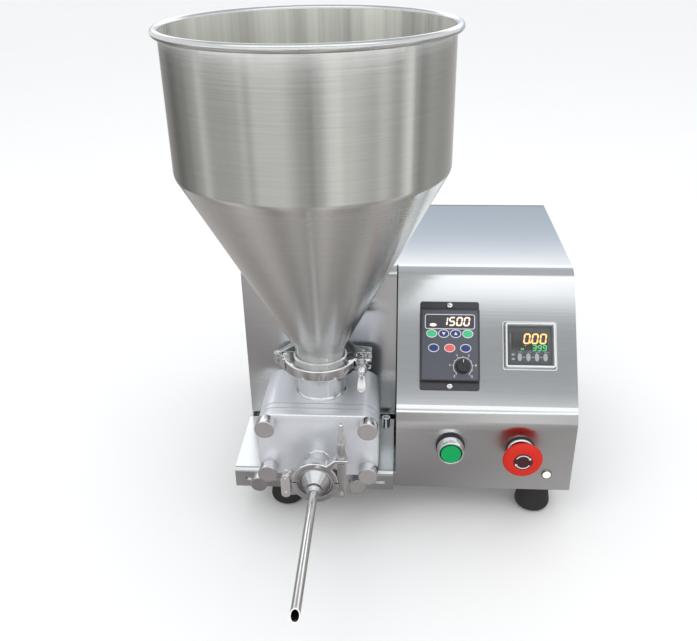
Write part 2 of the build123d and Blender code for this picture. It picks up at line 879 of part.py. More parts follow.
with BuildPart() as pump_body:
    with BuildSketch(across(body_y)):
        with Locations((axis_x, pump_z)):
            RectangleRounded(pump_width, pump_height, pump_corner_r)
    extrude(amount=-body_depth)
    chamfer(pump_body.faces().sort_by(Axis.Y)[-1].outer_wire().edges(), edge_chamfer)
    # gear chamber, with throats above and below the mesh
    with BuildSketch(across(body_y)):
        with Locations(*gear_places):
            Circle(chamber_r)
        with Locations((axis_x, pump_z)):
            Rectangle(port_width, 2 * port_half)
    extrude(amount=-chamber_depth, mode=Mode.SUBTRACT)
    # inlet from the top, with a seat for the tube
    with BuildSketch(Plane.XY.offset(pump_top)):
        with Locations((axis_x, hopper_y)):
            Circle(inlet_tube_r + push_fit)
    extrude(amount=-tube_seat, mode=Mode.SUBTRACT)
    with BuildSketch(Plane.XY.offset(pump_top - tube_seat)):
        with Locations((axis_x, hopper_y)):
            Circle(port_width / 2)
    extrude(amount=-(pump_height / 2 - tube_seat - port_half + port_width / 2), mode=Mode.SUBTRACT)
    # bush bores, the drive shaft's way out and its seal seat
    with BuildSketch(across(bush_y)):
        with Locations(*gear_places):
            Circle(bush_r + push_fit)
    extrude(amount=-bush_length, mode=Mode.SUBTRACT)
    with BuildSketch(across(bush_y)):
        with Locations(gear_places[0]):
            Circle(shaft_r + loose)
    extrude(amount=-body_depth, mode=Mode.SUBTRACT)
    with BuildSketch(across(seal_y)):
        with Locations(gear_places[0]):
            Circle(shaft_r + seal_wall + push_fit)
    extrude(amount=-seal_width, mode=Mode.SUBTRACT)
    # groove for the sealing ring
    with BuildSketch(across(body_y)):
        with Locations((axis_x, pump_z)):
            SlotOverall(ring_straight + 2 * (ring_half + 2 * ring_r), 2 * (ring_half + 2 * ring_r))
            SlotOverall(ring_straight + 2 * ring_half, 2 * ring_half, mode=Mode.SUBTRACT)
    extrude(amount=-2 * ring_r, mode=Mode.SUBTRACT)
    # tapped holes for the thumb screws and the mount
    with BuildSketch(across(body_y)):
        with Locations(*thumb_places):
            Circle(thumb_thread_r + running)
    extrude(amount=-thumb_grip, mode=Mode.SUBTRACT)
    with BuildSketch(Plane.XY.offset(pump_bottom)):
        with Locations(*mount_bolts):
            Circle(bolt_r + push_fit)
    extrude(amount=bolt_length - tray_t - pump_lift, mode=Mode.SUBTRACT)
pump_body.part.label = "pump_body"
export_step(pump_body.part, "parts/pump_body.step")

with BuildPart() as wear_plate:
    with BuildSketch(across(plate_y)):
        with Locations((axis_x, pump_z)):
            RectangleRounded(pump_width, pump_height, pump_corner_r)
        with Locations(*gear_places):
            Circle(bush_r + push_fit, mode=Mode.SUBTRACT)
        with Locations((axis_x, outlet_z)):
            Circle(port_width / 2, mode=Mode.SUBTRACT)
        with Locations(*thumb_places):
            Circle(thumb_thread_r + running, mode=Mode.SUBTRACT)
    extrude(amount=-plate_t)
    for end in (0, -1):
        chamfer(wear_plate.faces().sort_by(Axis.Y)[end].outer_wire().edges(), edge_chamfer / 2)
    with BuildSketch(across(plate_y)):
        with Locations((axis_x, pump_z)):
            SlotOverall(ring_straight + 2 * (ring_half + 2 * ring_r), 2 * (ring_half + 2 * ring_r))
            SlotOverall(ring_straight + 2 * ring_half, 2 * ring_half, mode=Mode.SUBTRACT)
    extrude(amount=-2 * ring_r, mode=Mode.SUBTRACT)
wear_plate.part.label = "wear_plate"
export_step(wear_plate.part, "parts/wear_plate.step")

with BuildPart() as pump_cover:
    with BuildSketch(across(cover_y)):
        with Locations((axis_x, pump_z)):
            RectangleRounded(pump_width, pump_height, pump_corner_r)
        with Locations((axis_x, outlet_z)):
            Circle(port_width / 2, mode=Mode.SUBTRACT)
        with Locations(*thumb_places):
            Circle(thumb_thread_r + running, mode=Mode.SUBTRACT)
    extrude(amount=-cover_t)
    chamfer(pump_cover.faces().sort_by(Axis.Y)[0].outer_wire().edges(), edge_chamfer)
    with BuildSketch(across(cover_y)):
        with Locations((axis_x, outlet_z)):
            Circle(outlet_tube_r + push_fit)
    extrude(amount=-tube_seat, mode=Mode.SUBTRACT)
pump_cover.part.label = "pump_cover"
export_step(pump_cover.part, "parts/pump_cover.step")

with BuildPart() as pump_seals:
    for ring_y in (plate_y, body_y):
        with BuildSketch(across(ring_y)):
            with Locations((axis_x, pump_z)):
                SlotOverall(
                    ring_straight + 2 * (ring_half + 2 * ring_r - push_fit),
                    2 * (ring_half + 2 * ring_r - push_fit),
                )
                SlotOverall(
                    ring_straight + 2 * (ring_half + push_fit),
                    2 * (ring_half + push_fit),
                    mode=Mode.SUBTRACT,
                )
        extrude(amount=-2 * ring_r)
    with BuildSketch(across(seal_y)):
        with Locations(gear_places[0]):
            Circle(shaft_r + seal_wall)
            Circle(shaft_r + running, mode=Mode.SUBTRACT)
    extrude(amount=-seal_width)
pump_seals.part.label = "pump_seals"
export_step(pump_seals.part, "parts/pump_seals.step")

with BuildPart() as shaft_bushes:
    for start, length in ((plate_y, plate_t), (bush_y, bush_length)):
        with BuildSketch(across(start)):
            with Locations(*gear_places):
                Circle(bush_r)
                Circle(shaft_r + running, mode=Mode.SUBTRACT)
        extrude(amount=-length)
shaft_bushes.part.label = "shaft_bushes"
export_step(shaft_bushes.part, "parts/shaft_bushes.step")

gear_front = Plane(
    origin=(0, body_y + end_clearance + gear_width, 0), x_dir=(1, 0, 0), z_dir=(0, -1, 0)
)
half_tooth = 180 / gear_teeth

with BuildPart() as drive_gear:
    with Locations(gear_front.location):
        with Locations((drive_x, pump_z, 0)):
            add(gear(shaft_r + push_fit, 0))
drive_gear.part.label = "drive_gear"
export_step(drive_gear.part, "parts/drive_gear.step")

with BuildPart() as idler_gear:
    with Locations(gear_front.location):
        with Locations((idler_x, pump_z, 0)):
            add(gear(shaft_r + push_fit, half_tooth))
idler_gear.part.label = "idler_gear"
export_step(idler_gear.part, "parts/idler_gear.step")

with BuildPart() as drive_shaft:
    with BuildSketch(across(plate_y + end_clearance)):
        with Locations(gear_places[0]):
            Circle(shaft_r)
    extrude(amount=-(coupling_y + hub_length - plate_y - end_clearance))
    chamfer(drive_shaft.edges().filter_by(GeomType.CIRCLE), edge_chamfer)
drive_shaft.part.label = "drive_shaft"
export_step(drive_shaft.part, "parts/drive_shaft.step")

with BuildPart() as idler_shaft:
    with BuildSketch(across(plate_y + end_clearance)):
        with Locations(gear_places[1]):
            Circle(shaft_r)
    extrude(amount=-(bush_y + bush_length - plate_y - 2 * end_clearance))
    chamfer(idler_shaft.edges().filter_by(GeomType.CIRCLE), edge_chamfer)
idler_shaft.part.label = "idler_shaft"
export_step(idler_shaft.part, "parts/idler_shaft.step")

thumb_reach = cover_t + plate_t + thumb_grip - thumb_end_room
for number, (screw_x, screw_z) in enumerate(thumb_places, start=1):
    with BuildPart() as cover_thumb_screw:
        with Locations(Plane(origin=(screw_x, cover_y, screw_z), z_dir=(0, -1, 0)).location):
            add(thumb_screw(thumb_head_r, thumb_head_length, thumb_thread_r, thumb_reach))
    cover_thumb_screw.part.label = f"cover_thumb_screw_{number}"
    export_step(cover_thumb_screw.part, f"parts/cover_thumb_screw_{number}.step")

tray_reach = tray_t + pan_t + tray_screw_reach
for number, (screw_x, screw_z) in enumerate(tray_screw_places, start=1):
    with BuildPart() as tray_thumb_screw:
        with Locations(Plane(origin=(screw_x, lip_y, screw_z), z_dir=(0, -1, 0)).location):
            add(thumb_screw(tray_head_r, tray_head_length, tray_thread_r, tray_reach))
    tray_thumb_screw.part.label = f"tray_thumb_screw_{number}"
    export_step(tray_thumb_screw.part, f"parts/tray_thumb_screw_{number}.step")

# Inlet tube, hopper and hopper clamp

ferrule_low = joint_z - gasket_t / 2
ferrule_high = joint_z + gasket_t / 2
inlet_back = inlet_rim + ferrule_slope(inlet_ferrule_r - inlet_tube_r)

with BuildPart() as inlet_tube:
    with BuildSketch(hopper_section):
        with BuildLine():
            Polyline(
                (inlet_bore_r, pump_top - tube_seat),
                (inlet_tube_r, pump_top - tube_seat),
                (inlet_tube_r, ferrule_low - inlet_back),
                (inlet_ferrule_r, ferrule_low - inlet_rim),
                (inlet_ferrule_r, ferrule_low),
                (inlet_bore_r, ferrule_low),
                close=True,
            )
        make_face()
    revolve(axis=hopper_axis)
inlet_tube.part.label = "inlet_tube"
export_step(inlet_tube.part, "parts/inlet_tube.step")

neck_z = ferrule_high + neck_height
cone_z = neck_z + cone_height
rim_z = cone_z + bowl_height
with BuildPart() as hopper:
    with BuildSketch(hopper_section):
        with BuildLine():
            Polyline(
                (inlet_bore_r, ferrule_high),
                (inlet_ferrule_r, ferrule_high),
                (inlet_ferrule_r, ferrule_high + inlet_rim),
                (inlet_tube_r, ferrule_high + inlet_back),
                (inlet_tube_r, neck_z),
                (bowl_r, cone_z),
                (bowl_r, rim_z),
                (bowl_r - hopper_wall, rim_z),
                (bowl_r - hopper_wall, cone_z),
                (inlet_bore_r, neck_z),
                close=True,
            )
        make_face()
    revolve(axis=hopper_axis)
    with BuildSketch(hopper_section):
        with Locations((bead_centre_r, rim_z)):
            Circle(bead_r)
    revolve(axis=hopper_axis)
hopper.part.label = "hopper"
export_step(hopper.part, "parts/hopper.step")

with BuildPart() as clamp_gaskets:
    with BuildSketch(Plane.XY.offset(ferrule_low)):
        with Locations((axis_x, hopper_y)):
            Circle(inlet_ferrule_r - loose)
            Circle(inlet_bore_r, mode=Mode.SUBTRACT)
    extrude(amount=gasket_t)
    with BuildSketch(across(outlet_joint_y - gasket_t / 2)):
        with Locations((axis_x, outlet_z)):
            Circle(outlet_ferrule_r - loose)
            Circle(outlet_bore_r, mode=Mode.SUBTRACT)
    extrude(amount=-gasket_t)
clamp_gaskets.part.label = "clamp_gaskets"
export_step(clamp_gaskets.part, "parts/clamp_gaskets.step")

inlet_seat_r = inlet_ear_high - inlet_pivot_y
inlet_eye_r = inlet_bolt_r + eye_wall
inlet_ear_x0 = inlet_clamp_r * ear_root
inlet_arm_x0 = -inlet_clamp_r * arm_root
inlet_clamp_room = clamp_room(inlet_clamp_half, inlet_ferrule_r, inlet_rim, inlet_grip)
inlet_fork_half = inlet_clamp_half / 2
knuckle_half = inlet_clamp_half / 3
knuckle_r = clamp_pin_r + knuckle_wall

with BuildPart() as clamp_front_local:
    add(half_disc(inlet_clamp_r, inlet_clamp_half, 1))
    # ear with an open slot for the bolt, rounded about the bolt's pivot
    with BuildSketch(Plane.XY.offset(-inlet_clamp_half)):
        with BuildLine():
            Polyline(
                (inlet_ear_x0, inlet_ear_low),
                (inlet_clamp_pin_x + inlet_ear_reach, inlet_ear_low),
                (inlet_clamp_pin_x + inlet_ear_reach, inlet_ear_high),
                (inlet_ear_x0, inlet_ear_high + inlet_clamp_half),
                close=True,
            )
        make_face()
        with Locations((inlet_clamp_pin_x, inlet_pivot_y)):
            Circle(inlet_seat_r, mode=Mode.INTERSECT)
    extrude(amount=2 * inlet_clamp_half)
    with BuildSketch(Plane.XY):
        with Locations((inlet_clamp_pin_x - inlet_bolt_r - loose, inlet_ear_high)):
            Rectangle(
                inlet_ear_reach + 2 * inlet_bolt_r,
                2 * inlet_ear_high,
                align=(Align.MIN, Align.CENTER),
            )
    extrude(amount=inlet_bolt_r + loose, both=True, mode=Mode.SUBTRACT)
    # hinge arm and its knuckle on the left
    with BuildSketch(Plane.XY.offset(-knuckle_half)):
        with BuildLine():
            Polyline(
                (inlet_arm_x0, inlet_clamp_r / 2),
                (inlet_arm_x0, clamp_split / 2),
                (-inlet_clamp_r - eye_gap, clamp_split / 2),
                (-inlet_clamp_pin_x, -knuckle_r),
                (-inlet_clamp_pin_x, knuckle_r),
                close=True,
            )
        make_face()
        with Locations((-inlet_clamp_pin_x, 0)):
            Circle(knuckle_r)
            Circle(clamp_pin_r + push_fit, mode=Mode.SUBTRACT)
    extrude(amount=2 * knuckle_half)
    add(inlet_clamp_room, mode=Mode.SUBTRACT)
with BuildPart() as hopper_clamp_front:
    with Locations(inlet_clamp_frame.location):
        add(clamp_front_local.part)
hopper_clamp_front.part.label = "hopper_clamp_front"
export_step(hopper_clamp_front.part, "parts/hopper_clamp_front.step")

with BuildPart() as clamp_rear_local:
    add(half_disc(inlet_clamp_r, inlet_clamp_half, -1))
    # ear that carries the bolt's pivot
    with BuildSketch(Plane.XY.offset(-inlet_clamp_half)):
        with BuildLine():
            Polyline(
                (inlet_ear_x0, -clamp_split),
                (inlet_clamp_pin_x + inlet_ear_reach, inlet_pivot_y + inlet_eye_r),
                (inlet_clamp_pin_x + inlet_ear_reach, inlet_pivot_y - inlet_eye_r),
                (inlet_ear_x0, inlet_pivot_y - inlet_eye_r - inlet_clamp_half),
                close=True,
            )
        make_face()
    extrude(amount=2 * inlet_clamp_half)
    with BuildSketch(Plane.XY):
        with Locations((inlet_clamp_pin_x - inlet_eye_r - eye_gap, inlet_pivot_y)):
            Rectangle(
                inlet_ear_reach + 2 * inlet_eye_r, 4 * inlet_eye_r, align=(Align.MIN, Align.CENTER)
            )
    extrude(amount=inlet_fork_half, both=True, mode=Mode.SUBTRACT)
    with Locations((inlet_clamp_pin_x, inlet_pivot_y, 0)):
        Cylinder(clamp_pin_r + push_fit, 4 * inlet_clamp_half, mode=Mode.SUBTRACT)
    # hinge arms above and below the other half's knuckle
    arm_t = inlet_clamp_half - knuckle_half - weld_gap
    for arm_z in (-inlet_clamp_half, inlet_clamp_half - arm_t):
        with BuildSketch(Plane.XY.offset(arm_z)):
            with BuildLine():
                Polyline(
                    (inlet_arm_x0, -inlet_clamp_r / 2),
                    (inlet_arm_x0, -clamp_split / 2),
                    (-inlet_clamp_r - eye_gap, -clamp_split / 2),
                    (-inlet_clamp_pin_x, knuckle_r),
                    (-inlet_clamp_pin_x, -knuckle_r),
                    close=True,
                )
            make_face()
            with Locations((-inlet_clamp_pin_x, 0)):
                Circle(knuckle_r)
                Circle(clamp_pin_r + push_fit, mode=Mode.SUBTRACT)
        extrude(amount=arm_t)
    # clearance for the knuckle
    with Locations((-inlet_clamp_pin_x, 0, 0)):
        Cylinder(knuckle_r + eye_gap, 2 * (knuckle_half + weld_gap), mode=Mode.SUBTRACT)
    add(inlet_clamp_room, mode=Mode.SUBTRACT)
with BuildPart() as hopper_clamp_rear:
    with Locations(inlet_clamp_frame.location):
        add(clamp_rear_local.part)
hopper_clamp_rear.part.label = "hopper_clamp_rear"
export_step(hopper_clamp_rear.part, "parts/hopper_clamp_rear.step")

with BuildPart() as hopper_clamp_pins:
    with Locations(inlet_clamp_frame.location):
        with Locations((-inlet_clamp_pin_x, 0, 0), (inlet_clamp_pin_x, inlet_pivot_y, 0)):
            Cylinder(clamp_pin_r, 2 * (inlet_clamp_half + pin_proud))
hopper_clamp_pins.part.label = "hopper_clamp_pins"
export_step(hopper_clamp_pins.part, "parts/hopper_clamp_pins.step")

with BuildPart() as hopper_clamp_bolt:
    with Locations(inlet_clamp_frame.location):
        with Locations((inlet_clamp_pin_x, 0, 0)):
            add(swing_bolt(inlet_bolt_r, inlet_pivot_y, inlet_bolt_end, inlet_fork_half))
hopper_clamp_bolt.part.label = "hopper_clamp_bolt"
export_step(hopper_clamp_bolt.part, "parts/hopper_clamp_bolt.step")

with BuildPart() as hopper_clamp_nut:
    with Locations(inlet_clamp_frame.location):
        with Locations(
            Plane(
                origin=(inlet_clamp_pin_x, inlet_ear_high + eye_gap, 0),
                x_dir=(0, 0, 1),
                z_dir=(0, 1, 0),
            ).location
        ):
            add(wing_nut(inlet_bolt_r, inlet_nut_height, inlet_wing_reach))
hopper_clamp_nut.part.label = "hopper_clamp_nut"
export_step(hopper_clamp_nut.part, "parts/hopper_clamp_nut.step")

# Outlet tube, nozzle and outlet clamp

outlet_back = outlet_rim + ferrule_slope(outlet_ferrule_r - outlet_tube_r)
tube_front = outlet_joint_y + gasket_t / 2
cap_back = outlet_joint_y - gasket_t / 2

with BuildPart() as outlet_tube:
    with BuildSketch(outlet_section):
        with BuildLine():
            Polyline(
                (outlet_bore_r, cover_y + tube_seat),
                (outlet_tube_r, cover_y + tube_seat),
                (outlet_tube_r, tube_front + outlet_back),
                (outlet_ferrule_r, tube_front + outlet_rim),
                (outlet_ferrule_r, tube_front),
                (outlet_bore_r, tube_front),
                close=True,
            )
        make_face()
    revolve(axis=outlet_axis)
outlet_tube.part.label = "outlet_tube"
export_step(outlet_tube.part, "parts/outlet_tube.step")

cone_start = cap_back - outlet_rim
collar_start = cone_start - cap_cone
collar_end = collar_start - collar_length
taper_end = collar_end - collar_taper
cap_shoulder_r = outlet_ferrule_r - cap_shoulder
needle_seat_r = needle_r - needle_step
needle_bore_r = needle_r - needle_wall
with BuildPart() as nozzle_cap:
    with BuildSketch(outlet_section):
        with BuildLine():
            Polyline(
                (outlet_bore_r, cap_back),
                (outlet_ferrule_r, cap_back),
                (outlet_ferrule_r, cone_start),
                (cap_shoulder_r, cone_start - ferrule_slope(outlet_ferrule_r - cap_shoulder_r)),
                (collar_r, collar_start),
                (collar_r, collar_end),
                (needle_r + needle_wall, taper_end),
                (needle_seat_r + push_fit, taper_end),
                (needle_seat_r + push_fit, taper_end + needle_seat),
                (needle_bore_r, taper_end + needle_seat),
                (needle_bore_r, cone_start),
                close=True,
            )
        make_face()
    revolve(axis=outlet_axis)
nozzle_cap.part.label = "nozzle_cap"
export_step(nozzle_cap.part, "parts/nozzle_cap.step")

needle_tip = taper_end - needle_free
needle_wall_length = needle_free - needle_relief
with BuildPart() as needle:
    with BuildSketch(across(needle_tip)):
        with Locations((axis_x, outlet_z)):
            Circle(needle_seat_r)
            Circle(needle_bore_r, mode=Mode.SUBTRACT)
    extrude(amount=-(needle_free + needle_seat))
    # full wall in front of the part that goes into the nozzle cap
    with BuildSketch(across(needle_tip)):
        with Locations((axis_x, outlet_z)):
            Circle(needle_r)
            Circle(needle_bore_r, mode=Mode.SUBTRACT)
    extrude(amount=-needle_wall_length)
    # bevelled tip, cut back towards the top
    with BuildSketch(Plane.YZ.offset(axis_x)):
        with BuildLine():
            bevel_run = 2 * needle_r / tan(radians(bevel_angle))
            Polyline(
                (needle_tip, outlet_z - needle_r),
                (needle_tip + bevel_run, outlet_z + needle_r),
                (needle_tip, outlet_z + needle_r),
                close=True,
            )
        make_face()
    extrude(amount=2 * needle_r, both=True, mode=Mode.SUBTRACT)
needle.part.label = "needle"
export_step(needle.part, "parts/needle.step")

outlet_seat_r = outlet_ear_high - outlet_pivot_y
outlet_eye_r = outlet_bolt_r + eye_wall
outlet_ear_x0 = outlet_clamp_pin_x - outlet_ear_reach
outlet_ear_x1 = outlet_clamp_pin_x + outlet_ear_reach
outlet_clamp_room = clamp_room(outlet_clamp_half, outlet_ferrule_r, outlet_rim, outlet_grip)
fork_half = outlet_clamp_half - cheek_t
cheek_top = outlet_ear_low - 2 * eye_gap
link_end_r = clamp_pin_r + knuckle_wall
hinge_half = outlet_clamp_half / 2
link_t = outlet_clamp_half - hinge_half - weld_gap

with BuildPart() as clamp_upper_local:
    add(half_disc(outlet_clamp_r, outlet_clamp_half, 1))
    # arm that rises from the band to the slotted ear, rounded about the bolt's pivot
    with BuildSketch(Plane.XY.offset(-outlet_clamp_half)):
        with BuildLine():
            Polyline(
                (outlet_clamp_r * rise_root, outlet_clamp_r * arm_root),
                (outlet_clamp_r * ear_root, outlet_clamp_r * side_root),
                (outlet_ear_x0 + eye_wall, outlet_ear_low),
                (outlet_ear_x1, outlet_ear_low),
                (outlet_ear_x1, outlet_ear_high),
                (outlet_ear_x0, outlet_ear_high),
                close=True,
            )
        make_face()
        with Locations((outlet_clamp_pin_x, outlet_pivot_y)):
            Circle(outlet_seat_r, mode=Mode.INTERSECT)
    extrude(amount=2 * outlet_clamp_half)
    with BuildSketch(Plane.XY):
        with Locations((outlet_clamp_pin_x - outlet_bolt_r - loose, outlet_ear_high)):
            Rectangle(
                outlet_ear_reach + 2 * outlet_bolt_r,
                outlet_ear_high,
                align=(Align.MIN, Align.CENTER),
            )
    extrude(amount=outlet_bolt_r + loose, both=True, mode=Mode.SUBTRACT)
    # hinge ear on the left
    with BuildSketch(Plane.XY.offset(-hinge_half)):
        with BuildLine():
            Polyline(
                (-outlet_clamp_r * side_root, outlet_clamp_r * ear_root),
                (-outlet_clamp_r * arm_root, clamp_split / 2),
                (-outlet_clamp_r - eye_gap, clamp_split / 2),
                (link_pin_x, link_high_y - link_end_r),
                (link_pin_x, link_high_y + link_end_r),
                close=True,
            )
        make_face()
        with Locations((link_pin_x, link_high_y)):
            Circle(link_end_r)
            Circle(clamp_pin_r + push_fit, mode=Mode.SUBTRACT)
    extrude(amount=2 * hinge_half)
    add(outlet_clamp_room, mode=Mode.SUBTRACT)
with BuildPart() as outlet_clamp_upper:
    with Locations(outlet_clamp_frame.location):
        add(clamp_upper_local.part)
outlet_clamp_upper.part.label = "outlet_clamp_upper"
export_step(outlet_clamp_upper.part, "parts/outlet_clamp_upper.step")

with BuildPart() as clamp_lower_local:
    add(half_disc(outlet_clamp_r, outlet_clamp_half, -1))
    # tall cheeks on both sides of the bolt
    for cheek_z in (-outlet_clamp_half, fork_half):
        with BuildSketch(Plane.XY.offset(cheek_z)):
            with BuildLine():
                Polyline(
                    (outlet_clamp_r * side_root, -outlet_clamp_r * ear_root),
                    (outlet_clamp_pin_x, outlet_pivot_y - link_end_r),
                    (outlet_clamp_pin_x, outlet_pivot_y + link_end_r),
                    (outlet_clamp_r * cheek_root, -clamp_split / 2),
                    close=True,
                )
            make_face()
            with Locations((outlet_clamp_pin_x, outlet_pivot_y)):
                Circle(link_end_r)
                Rectangle(
                    2 * outlet_eye_r,
                    cheek_top - outlet_pivot_y,
                    align=(Align.CENTER, Align.MIN),
                )
                Circle(clamp_pin_r + push_fit, mode=Mode.SUBTRACT)
            Circle(outlet_clamp_r + eye_gap, mode=Mode.SUBTRACT)
        extrude(amount=cheek_t)
    # web that ties the cheeks to the band
    web_x = outlet_clamp_pin_x - outlet_eye_r - eye_gap
    with BuildSketch(Plane.XY.offset(-outlet_clamp_half)):
        with BuildLine():
            Polyline(
                (outlet_clamp_r * side_root, -outlet_clamp_r * ear_root),
                (web_x, outlet_pivot_y - link_end_r),
                (web_x, -outlet_eye_r),
                (outlet_clamp_r * arm_root, -outlet_eye_r),
                close=True,
            )
        make_face()
    extrude(amount=2 * outlet_clamp_half)
    # hinge ear on the left
    with BuildSketch(Plane.XY.offset(-hinge_half)):
        with BuildLine():
            Polyline(
                (-outlet_clamp_r * side_root, -outlet_clamp_r * ear_root),
                (-outlet_clamp_r * arm_root, -outlet_clamp_r * step_root),
                (link_pin_x, link_low_y + link_end_r),
                (link_pin_x, link_low_y - link_end_r),
                close=True,
            )
        make_face()
        with Locations((link_pin_x, link_low_y)):
            Circle(link_end_r)
            Circle(clamp_pin_r + push_fit, mode=Mode.SUBTRACT)
    extrude(amount=2 * hinge_half)
    add(outlet_clamp_room, mode=Mode.SUBTRACT)
with BuildPart() as outlet_clamp_lower:
    with Locations(outlet_clamp_frame.location):
        add(clamp_lower_local.part)
outlet_clamp_lower.part.label = "outlet_clamp_lower"
export_step(outlet_clamp_lower.part, "parts/outlet_clamp_lower.step")

with BuildPart() as outlet_clamp_pins:
    # link plates in front of the hinge ears and behind them, on two rivets
    for link_z in (-outlet_clamp_half, outlet_clamp_half - link_t):
        with BuildSketch(outlet_clamp_frame.offset(link_z)):
            with Locations((link_pin_x, (link_high_y + link_low_y) / 2)):
                SlotCenterToCenter(link_high_y - link_low_y, 2 * link_end_r, rotation=90)
        extrude(amount=link_t)
    with BuildSketch(outlet_clamp_frame.offset(-outlet_clamp_half - pin_proud)):
        with Locations(
            (link_pin_x, link_high_y), (link_pin_x, link_low_y), (outlet_clamp_pin_x, outlet_pivot_y)
        ):
            Circle(clamp_pin_r)
    extrude(amount=2 * (outlet_clamp_half + pin_proud))
outlet_clamp_pins.part.label = "outlet_clamp_pins"
export_step(outlet_clamp_pins.part, "parts/outlet_clamp_pins.step")

with BuildPart() as outlet_clamp_bolt:
    with Locations(outlet_clamp_frame.location):
        with Locations((outlet_clamp_pin_x, 0, 0)):
            add(swing_bolt(outlet_bolt_r, outlet_pivot_y, outlet_bolt_end, fork_half))
outlet_clamp_bolt.part.label = "outlet_clamp_bolt"
export_step(outlet_clamp_bolt.part, "parts/outlet_clamp_bolt.step")

with BuildPart() as outlet_clamp_nut:
    with Locations(outlet_clamp_frame.location):
        with Locations(
            Plane(
                origin=(outlet_clamp_pin_x, outlet_ear_high + eye_gap, 0),
                x_dir=(0, 0, 1),
                z_dir=(0, 1, 0),
            ).location
        ):
            add(wing_nut(outlet_bolt_r, outlet_nut_height, outlet_wing_reach))
outlet_clamp_nut.part.label = "outlet_clamp_nut"
export_step(outlet_clamp_nut.part, "parts/outlet_clamp_nut.step")

# Drive behind the recess wall

with BuildPart() as shaft_coupling:
    with BuildSketch(across(coupling_y)):
        with Locations((drive_x, pump_z)):
            Circle(coupling_r)
            Circle(shaft_r + push_fit, mode=Mode.SUBTRACT)
    extrude(amount=-hub_length)
    with BuildSketch(across(spider_y)):
        with Locations((drive_x, pump_z)):
            Circle(coupling_r - edge_chamfer)
            Circle(motor_shaft_r, mode=Mode.SUBTRACT)
    extrude(amount=-spider_t)
    with BuildSketch(across(hub_y)):
        with Locations((drive_x, pump_z)):
            Circle(coupling_r)
            Circle(motor_shaft_r + push_fit, mode=Mode.SUBTRACT)
    extrude(amount=-hub_length)
shaft_coupling.part.label = "shaft_coupling"
export_step(shaft_coupling.part, "parts/shaft_coupling.step")

motor_shaft_seat = gearbox_length / 3
with BuildPart() as motor_shaft:
    with BuildSketch(across(hub_y)):
        with Locations((drive_x, pump_z)):
            Circle(motor_shaft_r)
    extrude(amount=-(hub_length + coupling_gap + bracket_t + motor_shaft_seat))
motor_shaft.part.label = "motor_shaft"
export_step(motor_shaft.part, "parts/motor_shaft.step")

gearbox_bolts = [
    (drive_x + sx * bolt_spread, motor_z + sz * bolt_spread) for sx in (-1, 1) for sz in (-1, 1)
]
with BuildPart() as gearbox:
    with BuildSketch(across(gearbox_y)):
        with Locations((drive_x, motor_z)):
            RectangleRounded(gearbox_size, gearbox_size, gearbox_size / 10)
    extrude(amount=-gearbox_length)
    with BuildSketch(across(gearbox_y)):
        with Locations((drive_x, pump_z)):
            Circle(motor_shaft_r + running)
    extrude(amount=-motor_shaft_seat - end_clearance, mode=Mode.SUBTRACT)
    with BuildSketch(across(gearbox_y)):
        with Locations(*gearbox_bolts):
            Circle(bolt_r + push_fit)
    extrude(amount=-bolt_length, mode=Mode.SUBTRACT)
gearbox.part.label = "gearbox"
export_step(gearbox.part, "parts/gearbox.step")

with BuildPart() as motor_housing:
    with BuildSketch(across(motor_y)):
        with Locations((drive_x, motor_z)):
            Circle(motor_r)
    extrude(amount=-motor_length)
    chamfer(motor_housing.edges().group_by(Axis.Y)[-1], motor_r / 10)
motor_housing.part.label = "motor_housing"
export_step(motor_housing.part, "parts/motor_housing.step")

with BuildPart() as motor_bracket:
    with BuildSketch(across(bracket_y)):
        with Locations((drive_x, pan_top)):
            Rectangle(
                bracket_width,
                motor_z + gearbox_size / 2 - pan_top,
                align=(Align.CENTER, Align.MIN),
            )
        with Locations((drive_x, pump_z)):
            Circle(motor_shaft_r + shaft_room, mode=Mode.SUBTRACT)
        with Locations(*gearbox_bolts):
            Circle(bolt_r + push_fit, mode=Mode.SUBTRACT)
    extrude(amount=-bracket_t)
    with BuildSketch(Plane.XY.offset(pan_top)):
        with Locations((drive_x, gearbox_y)):
            Rectangle(bracket_width, bracket_foot, align=(Align.CENTER, Align.MIN))
        with Locations(*bracket_bolts):
            Circle(bolt_r + push_fit, mode=Mode.SUBTRACT)
    extrude(amount=bracket_t)
motor_bracket.part.label = "motor_bracket"
export_step(motor_bracket.part, "parts/motor_bracket.step")

with BuildPart() as socket_bolts:
    with Locations(*[(x, y, pan_top + bracket_t) for x, y in bracket_bolts]):
        add(socket_bolt())
    with Locations((*tray_bolt, tray_z)):
        add(socket_bolt())
    with Locations(*[Pos(x, y, tray_z - tray_t) * Rot(180, 0, 0) for x, y in mount_bolts]):
        add(socket_bolt())
    with Locations(*[Pos(x, bracket_y, z) * Rot(90, 0, 0) for x, z in gearbox_bolts]):
        add(socket_bolt())
socket_bolts.part.label = "socket_bolts"
export_step(socket_bolts.part, "parts/socket_bolts.step")

# Controls on the console

